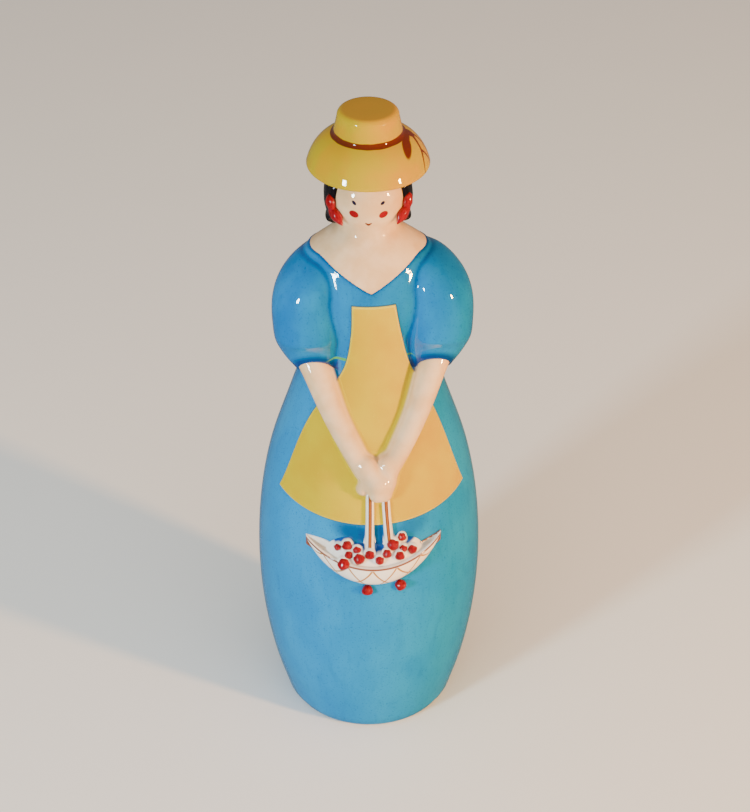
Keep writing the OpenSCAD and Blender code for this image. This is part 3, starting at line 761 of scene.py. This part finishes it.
# %% Arms and hands
ARM = [
    [0, CUFF[0] + 2.4, CUFF[1] + 3.4, CUFF[2] + 3.9, 5.5],
    [0.15, *CUFF, 5.5],
    [0.52, 15.7, -27.9, 154.3, 4.5],
    [0.8, 9.4, -34.0, 142.5, 4.0],
    [1, 4.8, -37.4, 134.5, 3.5],
]
ARM_STEPS = 64
arm_places = np.linspace(0, 1, ARM_STEPS + 1)
arm_line = np.stack([curve(ARM, arm_places, k) for k in (1, 2, 3)], 1)
arm_run = np.gradient(arm_line, arm_places, axis=0)


def one_arm(p):
    """Distance from the bent line of an arm, less its radius"""
    gap = ((p[:, None, :] - arm_line) ** 2).sum(2)
    i = gap.argmin(1)
    run = arm_run[i]
    t = arm_places[i] + ((p - arm_line[i]) * run).sum(1) / (run * run).sum(1)
    middle = np.stack([curve(ARM, t, k) for k in (1, 2, 3)], 1)
    return np.linalg.norm(p - middle, axis=1) - curve(ARM, t, 4)


def tapered(p, a, b):
    """A rod with round ends between two balls, each [x, y, z, radius]"""
    a, b = np.asarray(a, float), np.asarray(b, float)
    run = (b - a)[:3]
    t = np.clip(((p - a[:3]) @ run) / (run @ run), 0, 1)
    return np.linalg.norm(p - a[:3] - t[:, None] * run, axis=1) - (a[3] + (b[3] - a[3]) * t)


def ball_on_skirt(x, out, z, r):
    return [x, float(skirt_front(x, z)) - out, z, r]


LEFT_HAND = [(3.9, 2.4, 137, 3.9), (3.4, 2.8, 130.5, 3.6), (2.8, 3.0, 126, 2.9)]
RIGHT_HAND = [(-4.0, 3.2, 137, 4.0), (0.2, 4.0, 131, 3.9), (-0.2, 3.2, 126, 3.0)]
THUMB = [(-3, 2.8, 131.5, 2.9), (-5.4, 2.4, 127.5, 2.2)]
HANDS = [[ball_on_skirt(*ball) for ball in chain] for chain in (LEFT_HAND, RIGHT_HAND, THUMB)]
ARM_JOIN, FINGER_JOIN = 1.5, 1.6


def arms_only(p):
    p = p - (SHOULDER_SHIFT, 0, 0)
    mirrored = p * (-1, 1, 1)
    shape = join(one_arm(p), one_arm(mirrored), ARM_JOIN)
    for chain in HANDS:
        for a, b in zip(chain, chain[1:]):
            shape = join(shape, tapered(p, a, b), FINGER_JOIN)
    return shape


def apron_relief(p):
    z = p[:, 2]
    turn = np.arctan2(p[:, 0], -p[:, 1])
    share = turn / apron_angle(z, turn)
    hem = HEM_Z + HEM_RISE * np.clip(share, -1, 1) ** 2
    side = (1 - np.abs(share)) * apron_angle(z, turn) * half_width(z)
    return np.clip(np.minimum(side, np.minimum(z - hem, BIB_Z - z)) / EDGE_ROUND, 0, 1)


FILLET, FLARE = 2.6, 2.3
UNDER_APRON = 1.4
WARM_SKIN = (0.62, 0.36, 0.16)


def arms_field(p):
    arms = arms_only(p)
    ground = body_field(p) - APRON_T * apron_relief(p)
    outer = join(arms, ground, FILLET)
    return np.maximum(np.maximum(outer, arms - FLARE), -ground - UNDER_APRON)


corners, faces = contour(arms_field, (-30, -48, 116), (30, -6, 184), 0.55)
off_arm = arms_only(corners)
paint = Bench("arm glaze", **GLAZE)
arm_skin = paint.blend(paint.rise(paint.noise(9, 3), 0.35, 0.7), SKIN, SKIN_PALE)
off = paint.note("off_arm")
arm_skin = paint.blend(paint.rise(off, 0.0, 1.4) * 0.5, arm_skin, WARM_SKIN)
ground = paint.blend(paint.note("on_apron"), SKY, YELLOW)
colour = paint.blend(paint.rise(off, 0.15, 1.5), arm_skin, ground)
make_piece("arms_and_hands", corners, faces, paint.finish(colour, paint.noise(4, 2), 0.02), "bottle",
           "skin_glaze", ["left_forearm", "right_forearm", "hands"],
           {"off_arm": off_arm, "on_apron": apron_relief(corners)})

# %% [markdown]
# Her hair is a black bob that hugs the head from ear to ear and ends in a rounded fringe at the nape. It is
# a raised band of clay under a glossy black glaze, with a few combed waves that catch the light.

# %% Hair
HAIR = [[223.4, 11.3], [224.2, 13.9], [228.5, 15.55], [236, 16.6], [243.5, 14.6], [246.4, 12.4]]
HAIR_LOW, HAIR_TOP = HAIR[0][0], HAIR[-1][0]
FACE_TURN = math.radians(56)
SOFT_BLACK = (0.016, 0.012, 0.018)


def hair_field(p):
    far = np.hypot(p[:, 0], p[:, 1])
    turn = np.abs(np.arctan2(p[:, 0], -p[:, 1]))
    comb = 0.05 * np.cos(22 * turn + 0.25 * (p[:, 2] - HEAD_Z)) * np.clip((p[:, 2] - 224) / 6, 0, 1)
    outer = (far - curve(HAIR, p[:, 2], 1)) * 0.85 - comb
    ends = carve(HAIR_LOW - p[:, 2], p[:, 2] - HAIR_TOP, 0.8)
    inner = (HEAD_R - 0.4) - np.hypot(far, p[:, 2] - HEAD_Z)
    nape = 10.3 - far
    face_turn = FACE_TURN + 0.35 * np.clip((233 - p[:, 2]) / 7, 0, 1)
    face_side = (face_turn - turn) * np.maximum(far, 6)
    solid = carve(carve(outer, ends, 1.4), face_side, 1.6)
    return np.maximum(solid, np.maximum(inner, nape))


corners, faces = contour(hair_field, (-18, -14, 222.5), (18, 18, 247.5), 0.5)
paint = Bench("hair glaze", **{**GLAZE, "Coat_Weight": 0.6})
colour = paint.blend(paint.rise(paint.noise(3, 2, (1, 1, 4)), 0.45, 0.7) * 0.5, BLACK, SOFT_BLACK)
make_piece("hair_bob", corners, faces, paint.finish(colour, paint.noise(1.2, 2, (1, 1, 5)), 0.05),
           "bottle", "black_glaze", ["hair"])

# %% [markdown]
# Beside each cheek hang two lobes of glossy red fruit, an egg above and a longer drop below whose tip points
# to the face. Each starts as a ball of quads, is drawn out along its own axis, and gets the small dents
# that the modelling tool left.

# %% Ear fruit
LOBES = [(61, -0.4, 3.4, 2.2, 18, 0.3), (53, -4.9, 4.7, 2.4, 54, 0.6)]
LOBE_OUT = 16.2
DARK_RED = (0.05, 0.001, 0.002)
LIGHT_RED = (0.45, 0.03, 0.03)

paint = Bench("red glaze", **GLAZE)
colour = paint.blend(paint.rise(paint.noise(0.8, 2), 0.55, 0.7) * 0.55, RED, DARK_RED)
colour = paint.blend(paint.rise(paint.noise(1.6, 1), 0.6, 0.72) * 0.3, colour, LIGHT_RED)
red_glaze = paint.finish(colour, paint.noise(1.1, 2), 0.12)


def ball_mesh(rings=20, sides=32):
    """Corners and faces of a round ball of radius 1"""
    outline = [(math.sin(a), -math.cos(a)) for a in np.linspace(0, math.pi, rings + 1)]
    outline[0], outline[-1] = (0, -1), (0, 1)
    corners, faces = turned(outline, sides)
    return np.array(corners), faces


def fruit_lobe(side, turn, drop, half_long, half_wide, tilt, point):
    corners, faces = ball_mesh()
    slim = 1 - point * np.clip(-corners[:, 2], 0, 1) ** 1.5
    dents = 1 + 0.05 * np.sin(5 * corners[:, 0] + 3) * np.sin(6 * corners[:, 2])
    shape = corners * np.stack([half_wide * slim * dents, 0.85 * half_wide * slim * dents,
                                half_long * np.ones(len(corners))], 1)
    a = math.radians(side * tilt)
    shape = shape @ np.array([[math.cos(a), 0, math.sin(a)], [0, 1, 0], [-math.sin(a), 0, math.cos(a)]]).T
    b = math.radians(side * turn)
    shape = shape @ np.array([[math.cos(b), -math.sin(b), 0], [math.sin(b), math.cos(b), 0], [0, 0, 1]]).T
    reach = math.sqrt(LOBE_OUT ** 2 - drop ** 2)
    return shape + (reach * math.sin(b), -reach * math.cos(b), HEAD_Z + drop), faces


def gather(parts):
    """Several closed forms as the corners and faces of one mesh"""
    corners, faces = [], []
    for c, f in parts:
        start = sum(len(x) for x in corners)
        corners.append(np.asarray(c))
        faces += [[start + i for i in face] for face in f]
    return np.concatenate(corners), faces


for name, side in (("left", 1), ("right", -1)):
    lobes = [fruit_lobe(side, *lobe) for lobe in LOBES]
    make_piece(f"{name}_ear_fruit", *gather(lobes), red_glaze, "bottle", "red_glaze",
               [f"{name}_ear_cluster"], crisp=80)

# %% [markdown]
# The basket is a boat-shaped bowl in high relief. Seen across, it is a quarter oval that stands out from the
# skirt; its rim and keel are arcs that meet in two tips. White slip fills it with a heap, and each berry
# sits in a small socket of it. Everything here is worked out by height and by distance out from the skirt.

# %% Basket
BASKET_R, RIM_Z, RIM_RISE, BASKET_DEPTH = 26.8, 97, 6, 10.6
PROUD, TIP_PROUD, RIM_T, HEAP = 7.5, 0.8, 1.6, 9
HEAP_SHARE = 0.72
RIM_ARC = (BASKET_R ** 2 + RIM_RISE ** 2) / (2 * RIM_RISE)
KEEL_ARC = (BASKET_R ** 2 + (RIM_RISE + BASKET_DEPTH) ** 2) / (2 * (RIM_RISE + BASKET_DEPTH))


def rim_height(x):
    x = np.clip(x, -BASKET_R, BASKET_R)
    return RIM_Z + RIM_ARC - np.sqrt(RIM_ARC ** 2 - np.square(x))


def keel_height(x):
    x = np.clip(x, -BASKET_R, BASKET_R)
    return RIM_Z - BASKET_DEPTH + KEEL_ARC - np.sqrt(KEEL_ARC ** 2 - np.square(x))


def proud(x):
    return TIP_PROUD + (PROUD - TIP_PROUD) * np.sqrt(np.maximum(1 - np.square(x / BASKET_R), 0))


def heap_top(x):
    full = rim_height(x) + HEAP * (1 - (x / (HEAP_SHARE * BASKET_R)) ** 4)
    return np.maximum(full, keel_height(x) + 0.75 * (rim_height(x) - keel_height(x)))


BERRIES = [
    (-14.3, 5.8, 1.5), (-10.7, 7, 2.0), (-6.9, 5.8, 1.7), (-10.2, 4.1, 1.7), (-6.2, 3.2, 2.3),
    (-2.1, 4.5, 1.95), (-12.2, 1.1, 2.5), (1.7, 2.7, 1.8), (4.6, 4.5, 1.9), (7.1, 7.3, 2.4),
    (10.6, 9, 1.8), (11.1, 5.4, 1.6), (9.6, 3.4, 1.9), (14.7, 4.4, 1.9), (-3, -14, 2.2),
    (10.2, -12.8, 2.3),
]
BERRY_PROUD = 0.35
TROUGHS = [(2.3, 103.5, 2.4, 6.0, 2.4), (-6.0, 104.8, 3.6, 3.0, 1.8), (13.5, 107.5, 5.5, 2.6, 1.2)]
BACK_LEFT, BACK_RIGHT = 3.4, 1.6


def heap_out(x, z):
    up = np.clip((z - rim_height(x)) / (heap_top(x) - rim_height(x)), 0, 1)
    return (proud(x) - RIM_T) * (1 - up) + 0.2 * up


def back_rim(x):
    """Upper edge of the wall's far side, which shows in the hollow ends"""
    share = np.clip((np.abs(x) - 12) / (BASKET_R - 12), 0, 1)
    return rim_height(x) + np.where(x < 0, BACK_LEFT, BACK_RIGHT) * np.sin(math.pi * share ** 0.8)


def berry_ball(x, rise, r):
    z = RIM_Z + rise
    out = float(heap_out(x, z)) if rise > 0 else 0.0
    return [x, float(skirt_front(x, z)) - out - BERRY_PROUD * r, z, r]


def basket_field(p):
    x, z = p[:, 0], p[:, 2]
    out = skirt_front(x, z) - p[:, 1]
    rim, keel, stand = rim_height(x), keel_height(x), proud(x)
    deep = np.maximum(rim - keel, 0.2)
    below = np.maximum(rim - z, 0)
    reach = np.hypot(out, below) + 1e-6
    bowl = reach - reach / (np.hypot(np.maximum(out, 0) / stand, below / deep) + 1e-9)
    bowl = carve(bowl, z - rim - 0.5, 0.7)
    inner_r, inner_d = np.maximum(stand - RIM_T, 0.1), np.maximum(deep - RIM_T, 0.1)
    hollow = reach - reach / (np.hypot(np.maximum(out, 0) / inner_r, below / inner_d) + 1e-9)
    top = heap_top(x)
    a_out, a_z = inner_r, rim - np.minimum(0.6, deep / 4)
    run_out, run_z = 0.2 - a_out, top - a_z
    heap = ((out - a_out) * run_z - (z - a_z) * run_out) / np.hypot(run_out, run_z)
    heap = np.maximum(np.maximum(heap, z - top), keel - z + 1)
    heap = np.maximum(heap, np.abs(x) - 0.80 * BASKET_R)
    for tx, tz, half_x, half_z, deep_in in TROUGHS:
        share = np.sqrt(np.square((x - tx) / half_x) + np.square((z - tz) / half_z)
                        + np.square((out - heap_out(x, z)) / deep_in))
        heap = carve(heap, (1 - share) * deep_in, 0.6)
    for berry in BERRIES[:-2]:
        bx, by, bz, r = berry_ball(*berry)
        heap = join(heap, np.linalg.norm(p - (bx, by + 0.5 * r, bz), axis=1) - r - 0.15, 0.8)
    shape = np.minimum(np.maximum(bowl, -hollow), np.maximum(heap, np.minimum(bowl, rim - z)))
    back = np.maximum(np.maximum(out - 0.45, z - back_rim(x)), rim - 4 - z)
    shape = np.minimum(shape, back)
    shape = np.maximum(shape, np.abs(x) - 0.985 * BASKET_R)
    return np.maximum(shape, -out - 0.8)


corners, faces = contour(basket_field, (-27, -55, 84), (27, -33, 110), 0.42)
print("basket:", len(corners), "corners,", len(BERRIES), "berries")

# %% [markdown]
# Its white ground is crossed by a lattice of thin tan lines that hang from the rim like scallops, and its
# rim and keel are drawn in brown. The lattice is counted out along the basket: each line wanders half a
# mesh to the side on its way from rim to keel.

# %% Basket paint
WHITE = (0.80, 0.74, 0.66)
TAN = (0.38, 0.17, 0.035)
CREAM = (0.82, 0.66, 0.50)
# deep blue for pooled glaze and painted shade in the basket's troughs
POOLED_AND_SHADED_BLUE = (0.002, 0.05, 0.24)
LATTICE = 9.5
STRAND_X = (-2, 5.6)


def rim_wire(paint, arc, low):
    """The rim's or keel's height over the picture plane, as shader maths"""
    return (low + arc) - paint.maths("SQRT", arc ** 2 - paint.square(paint.x))


paint = Bench("basket glaze", **GLAZE)
rim = rim_wire(paint, RIM_ARC, RIM_Z)
keel = rim_wire(paint, KEEL_ARC, RIM_Z - BASKET_DEPTH)
down = (rim - paint.z) / paint.most(rim - keel, 0.3)
swing = paint.maths("POWER", paint.most(down, 0.0), 1.2) * (0.85 * LATTICE)
lines = []
for way in (1, -1):
    phase = (paint.x + 1.2 + swing * way) / LATTICE
    off = paint.maths("ABSOLUTE", paint.maths("FRACT", phase + 100) - 0.5)
    lines.append(paint.rise(off, 0.445, 0.468))
lattice = paint.most(*lines) * paint.rise(down, 0.02, 0.08)
outline = paint.most(
    paint.fall(paint.maths("ABSOLUTE", rim - paint.z), 0.25, 0.5) * paint.note("outer"),
    paint.rise(down, 0.92, 0.98),
    paint.note("back_line"),
)
colour = paint.blend(paint.rise(paint.noise(7, 2), 0.4, 0.7) * 0.4, WHITE, CREAM)
colour = paint.blend(lattice * paint.note("outside"), colour, TAN)
colour = paint.blend(outline * 0.95, colour, BROWN)
# pooled glaze and painted shade: the heap's low top between berries and strands is painted deep blue
colour = paint.blend(paint.note("pool"), colour, POOLED_AND_SHADED_BLUE)
x, z = corners[:, 0], corners[:, 2]
out_note = skirt_front(x, z) - corners[:, 1]
outer_note = out_note > proud(x) - 1.0
near_berry = np.min([np.linalg.norm(corners - berry_ball(*b)[:3], axis=1) - b[2] for b in BERRIES], 0)
near_strand = np.min([np.abs(x - strand_x) for strand_x in STRAND_X], 0)
# where the heap lies low, away from berries and strands: pooled glaze and painted shade
full = RIM_Z + 3.6 + 0.012 * np.square(x)
pooled_glaze_and_shade_note = (np.clip((z - full) / 0.8, 0, 1) * np.clip((near_berry - 0.5) / 0.5, 0, 1)
             * np.clip((near_strand - 1.5) / 0.6, 0, 1) * (np.abs(x) < HEAP_SHARE * BASKET_R))
around = np.hypot(out_note / proud(x), (rim_height(x) - z)
                  / np.maximum(rim_height(x) - keel_height(x), 0.2))
outside_note = (around > 0.93) & (z < rim_height(x))
back_line = (np.abs(z - back_rim(x)) < 0.5) * (x > 15) * (out_note < 0.8)
notes = {"outer": outer_note, "outside": outside_note, "pool": pooled_glaze_and_shade_note, "back_line": back_line}
make_piece("basket_bowl", corners, faces, paint.finish(colour, paint.noise(2.5, 2), 0.03), "bottle",
           "white_glaze", ["basket"], notes)

# %% [markdown]
# Two strands of the handle run from the hands into the fruit. Each is a soft rib of white with a thin brown
# line down its middle, and widens at its foot where the slip ran out over the skirt.

# %% Handle
STRANDS = [((-1.6, 126), (-2, 102)), ((4.4, 126), (5.8, 104))]
HANDLE_R = 1.4
LIGHT_BROWN = (0.30, 0.10, 0.02)


def strand_middle(strand, z):
    (x0, z0), (x1, z1) = strand
    return x0 + (x1 - x0) * np.clip((z0 - z) / (z0 - z1), 0, 1.1) ** 1.5


def strand_field(strand):
    def field(p):
        z = np.clip(p[:, 2], strand[1][1], strand[0][1] + 1)
        x = strand_middle(strand, z)
        out = skirt_front(p[:, 0], p[:, 2]) - p[:, 1]
        far = np.square(p[:, 0] - x) + np.square(out - HANDLE_R + KEY) + np.square(p[:, 2] - z)
        rib = np.sqrt(far) - HANDLE_R
        flare = 0.5 + np.clip((strand[1][1] + 8 - z) / 8, 0, 1)
        return np.maximum(join(rib, out, 1.6), np.maximum(rib - flare, -out - 0.5))
    return field


for name, strand in zip(("right", "left"), STRANDS):
    corners, faces = contour(strand_field(strand), (-5, -50, 100), (9, -33, 129), 0.34)
    paint = Bench(f"{name} strand glaze", **GLAZE)
    line = paint.fall(paint.note("middle"), 0.55, 0.8)
    core = paint.fall(paint.note("middle"), 0.15, 0.4)
    off = paint.note("off")
    ground = paint.blend(paint.rise(paint.z, 111.8, 112.4), SKY, YELLOW)
    colour = paint.blend(paint.rise(off, 0.2, 0.6) * paint.rise(paint.z, 104, 108), WHITE, ground)
    colour = paint.blend(line, colour, BROWN)
    colour = paint.blend(core, colour, LIGHT_BROWN)
    x = strand_middle(strand, corners[:, 2])
    out = skirt_front(corners[:, 0], corners[:, 2]) - corners[:, 1]
    notes = {"off": np.hypot(corners[:, 0] - x, out - HANDLE_R + KEY) - HANDLE_R,
             "middle": np.abs(corners[:, 0] - x)}
    make_piece(f"handle_strand_{name}", corners, faces, paint.finish(colour), "bottle", "white_glaze",
               ["basket_handle"], notes)

# %% [markdown]
# The berries are red beads of glaze, no two quite alike. Each is a ball with a few low dents, turned its own
# way, and set into the slip close to its place in the CAD.

# %% Berries
def berry_mesh(number, x, y, z, r):
    corners, faces = ball_mesh(14, 22)
    phase = 1.7 * number
    dents = (1 + 0.06 * np.sin(4 * corners[:, 0] + phase) * np.cos(3.5 * corners[:, 2] - phase)
             + 0.04 * np.sin(6 * corners[:, 2] + 2 * phase))
    return corners * dents[:, None] * r + (x, y, z), faces


berries = [berry_mesh(i, *berry_ball(*berry)) for i, berry in enumerate(BERRIES)]
make_piece("berries_on_basket", *gather(berries), red_glaze, "bottle", "red_glaze", ["berries"], crisp=80)

# %% [markdown]
# The hat was turned like a cup, upside down: a low crown with a rounded top, a wide brim that droops, and
# under it the hollow plug that carries the cork. Its outline is the CAD's, with finer steps.

# %% Hat
HAT_TOP, CROWN_R, CROWN_BASE_R, CROWN_H, CROWN_ROUND = 270, 11.5, 12.8, 9.2, 2.4
BRIM_R, BRIM_DROP, HAT_WALL = 22.9, 13.4, 2.4
SEAT_Z, PLUG_R, PLUG_BORE_R, PLUG_LOW = 254.3, 6.5, 4, 236
BRIM_Z = HAT_TOP - CROWN_H
RIM_LOW = BRIM_Z - BRIM_DROP


def bend(a, b, c, steps):
    """Points on a curve from a to c that is drawn towards b"""
    return [tuple((1 - t) ** 2 * np.array(a) + 2 * t * (1 - t) * np.array(b) + t * t * np.array(c))
            for t in np.linspace(0, 1, steps)]


def arc(middle, radius, first, last, steps):
    return [(middle[0] + radius * math.cos(a), middle[1] + radius * math.sin(a))
            for a in np.radians(np.linspace(first, last, steps))]


lip = HAT_WALL / 2
hat_outline = (
    [(0, HAT_TOP), (CROWN_R * 0.4, HAT_TOP)]
    + arc((CROWN_R - CROWN_ROUND, HAT_TOP - CROWN_ROUND), CROWN_ROUND, 90, 4, 12)
    + bend((CROWN_R + 0.1, HAT_TOP - 3), (CROWN_BASE_R - 0.3, BRIM_Z + 2),
           (CROWN_BASE_R + 0.1, BRIM_Z), 8)
    + bend((CROWN_BASE_R + 0.3, BRIM_Z - 0.2), (BRIM_R - 2.4, BRIM_Z - 3.2),
           (BRIM_R, RIM_LOW + lip), 22)[1:]
    + arc((BRIM_R - lip, RIM_LOW + lip), lip, -15, -165, 9)
    + bend((BRIM_R - 2 * lip, RIM_LOW + lip), (BRIM_R - lip - 3.2, SEAT_Z + 1.4),
           (COLLAR_R + 1, SEAT_Z + 2), 16)
    + [(COLLAR_R + 0.6, SEAT_Z), (PLUG_R + 0.4, SEAT_Z), (PLUG_R, SEAT_Z - 0.4), (PLUG_R, PLUG_LOW + 0.4),
       (PLUG_R - 0.4, PLUG_LOW), (PLUG_BORE_R + 0.3, PLUG_LOW), (PLUG_BORE_R, PLUG_LOW + 0.3),
       (PLUG_BORE_R, SEAT_Z + HAT_WALL), (CROWN_R - HAT_WALL, SEAT_Z + HAT_WALL + 1),
       (CROWN_R - HAT_WALL, HAT_TOP - HAT_WALL), (0, HAT_TOP - HAT_WALL)]
)[::-1]
print("hat outline:", len(hat_outline), "places")

# %% [markdown]
# A brown-red band is brushed round the foot of the crown and tied in a bow over her left ear: a knot, one
# full loop and three thin tails that run down the brim. They are strokes seen from above. The flat top of
# the crown is painted a darker ochre.

# %% Hat paint
BAND = (0.10, 0.015, 0.003)
OCHRE = (0.42, 0.20, 0.01)
HAT_YELLOW = (0.46, 0.235, 0.0)
HAT_GREEN = (0.40, 0.27, 0.0)
BAND_R, BAND_Z = 13.1, 260.9

paint = Bench("hat glaze", **GLAZE)
far = paint.maths("SQRT", paint.square(paint.x) + paint.square(paint.y))
normal = paint.add("ShaderNodeNewGeometry", output="Normal")
facing = paint.add("ShaderNodeSeparateXYZ", {}, {0: normal}, output="Z")
band_off = paint.maths("SQRT", paint.square(far - BAND_R) + paint.square(paint.z - BAND_Z))
band = paint.fall(band_off + (paint.noise(5, 1) - 0.5) * 0.5, 1.0, 1.3)
bow = paint.most(
    paint.spot(paint.x, paint.y, (15.0, 0.2), (2.0, 2.4), 20, 0.15),
    paint.spot(paint.x, paint.y, (13.6, -8.6), (1.75, 5.0), 0, 0.12),
    paint.stroke(paint.x, paint.y, (14.2, -2), (13.8, -6), (0.9, 1.1)),
    paint.stroke(paint.x, paint.y, (16, -0.5), (19.2, -5.2), (0.7, 0.5)),
    paint.stroke(paint.x, paint.y, (19.2, -5.2), (20.4, -10.4), (0.5, 0.15)),
    paint.stroke(paint.x, paint.y, (19.2, -5.2), (22.5, -2.6), (0.45, 0.3)),
    paint.stroke(paint.x, paint.y, (16.5, 1), (22.8, 0.6), (0.7, 0.25)),
)
outside = paint.rise(facing, -0.15, 0.05)
colour = paint.blend(paint.rise(paint.noise(14, 2), 0.35, 0.65), HAT_YELLOW, HAT_GREEN)
colour = paint.blend(paint.rise(paint.noise(0.8, 2), 0.6, 0.78) * 0.2, colour, OCHRE)
# the flat top of the crown is painted a darker ochre
colour = paint.blend(paint.rise(paint.z, 269.5, 269.95) * 0.85, colour, OCHRE)
colour = paint.blend(paint.most(band, bow * outside) * paint.rise(paint.z, 247.8, 248), colour, BAND)
colour = paint.blend(paint.fall(far, 10.5, 12) * paint.fall(paint.z, 257, 258), colour, WHITE)
make_piece("hat_stopper", *turned(hat_outline), paint.finish(colour, paint.noise(4, 2), 0.02), "hat",
           "yellow_glaze", ["hat"])

# %% [markdown]
# The cork sleeve is the CAD's own solid. Only its finish is made here: a warm brown ground, darker pits and
# pale grain that runs round it.

# %% Cork
CORK_DARK = (0.50, 0.31, 0.15)
CORK_PALE = (0.66, 0.45, 0.26)
CORK_PIT = (0.16, 0.08, 0.035)

paint = Bench("cork", Roughness=0.85)
pits = paint.rise(paint.noise(1.1, 3, (1, 1, 0.6)), 0.58, 0.68)
colour = paint.blend(paint.noise(2.5, 4), CORK_DARK, CORK_PALE)
colour = paint.blend(pits * 0.85, colour, CORK_PIT)
cork_finish = paint.finish(colour, 1 - pits, 0.15)
cork_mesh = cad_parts["cork_sleeve"].data
cork_mesh.materials.clear()
cork_mesh.materials.append(cork_finish)
print("cork:", len(cork_mesh.polygons), "faces")

# %% [markdown]
# The bottle stands on a plain pale floor. Light comes from two sides, as in the photograph: a cool window to
# the viewer's left and a warm low sun to the right. Both are upright soft boxes, so that the glaze shows
# them as small window-like highlights. A pale surround and a broad lamp overhead fill the shadows. That lamp
# and the floor are kept out of the mirror image in the glaze, which would wash out its colours.

# %% Floor and light
FLOOR_PALE = (0.86, 0.82, 0.77)
FLOOR_WHITE = (0.88, 0.84, 0.79)
LAMP_AIM = Vector((0, 0, 0.17))
SURROUND = (0.80, 0.77, 0.72, 1)
SURROUND_STRENGTH = 0.25

floor_mesh = bpy.data.meshes.new("floor")
ground = bmesh.new()
bmesh.ops.create_grid(ground, x_segments=2, y_segments=2, size=4)
ground.to_mesh(floor_mesh)
ground.free()
floor = bpy.data.objects.new("floor", floor_mesh)
bpy.context.scene.collection.objects.link(floor)
paint = Bench("pale floor", Roughness=0.7)
floor_mesh.materials.append(paint.finish(paint.blend(paint.noise(60, 2), FLOOR_PALE, FLOOR_WHITE)))
floor.visible_glossy = False
floor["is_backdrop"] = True


def soft_box(name, azimuth, height, out, size, colour, watts):
    """An upright lamp at a place round the bottle, counted from the front towards her left"""
    lamp = bpy.data.lights.new(name, "AREA")
    lamp.shape, lamp.size, lamp.size_y = "RECTANGLE", *size
    lamp.color, lamp.energy = colour, watts
    box = bpy.data.objects.new(name, lamp)
    bpy.context.scene.collection.objects.link(box)
    a = math.radians(azimuth)
    box.location = (out * math.sin(a), -out * math.cos(a), height)
    box.rotation_euler = (LAMP_AIM - box.location).to_track_quat("-Z", "Y").to_euler()
    return box


soft_box("cool window", -46, 0.42, 1.3, (0.15, 0.22), (0.72, 0.90, 1.0), 24)
soft_box("warm sun", 55, 0.37, 1.3, (0.09, 0.16), (1.0, 0.55, 0.20), 42)
soft_box("sky", 0, 2.0, 0.8, (1.6, 1.6), (1.0, 0.96, 0.90), 32).visible_glossy = False
world = bpy.data.worlds.new("surround")
bpy.context.scene.world = world
world.use_nodes = True
world.node_tree.nodes["Background"].inputs["Color"].default_value = SURROUND
world.node_tree.nodes["Background"].inputs["Strength"].default_value = SURROUND_STRENGTH

# %% Sizes and finish
boxes = [[list(corner) for corner in box] for box in (cad_box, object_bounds())]
print("boxes:", [[round(v * 1000, 1) for corner in box for v in corner] for box in boxes])
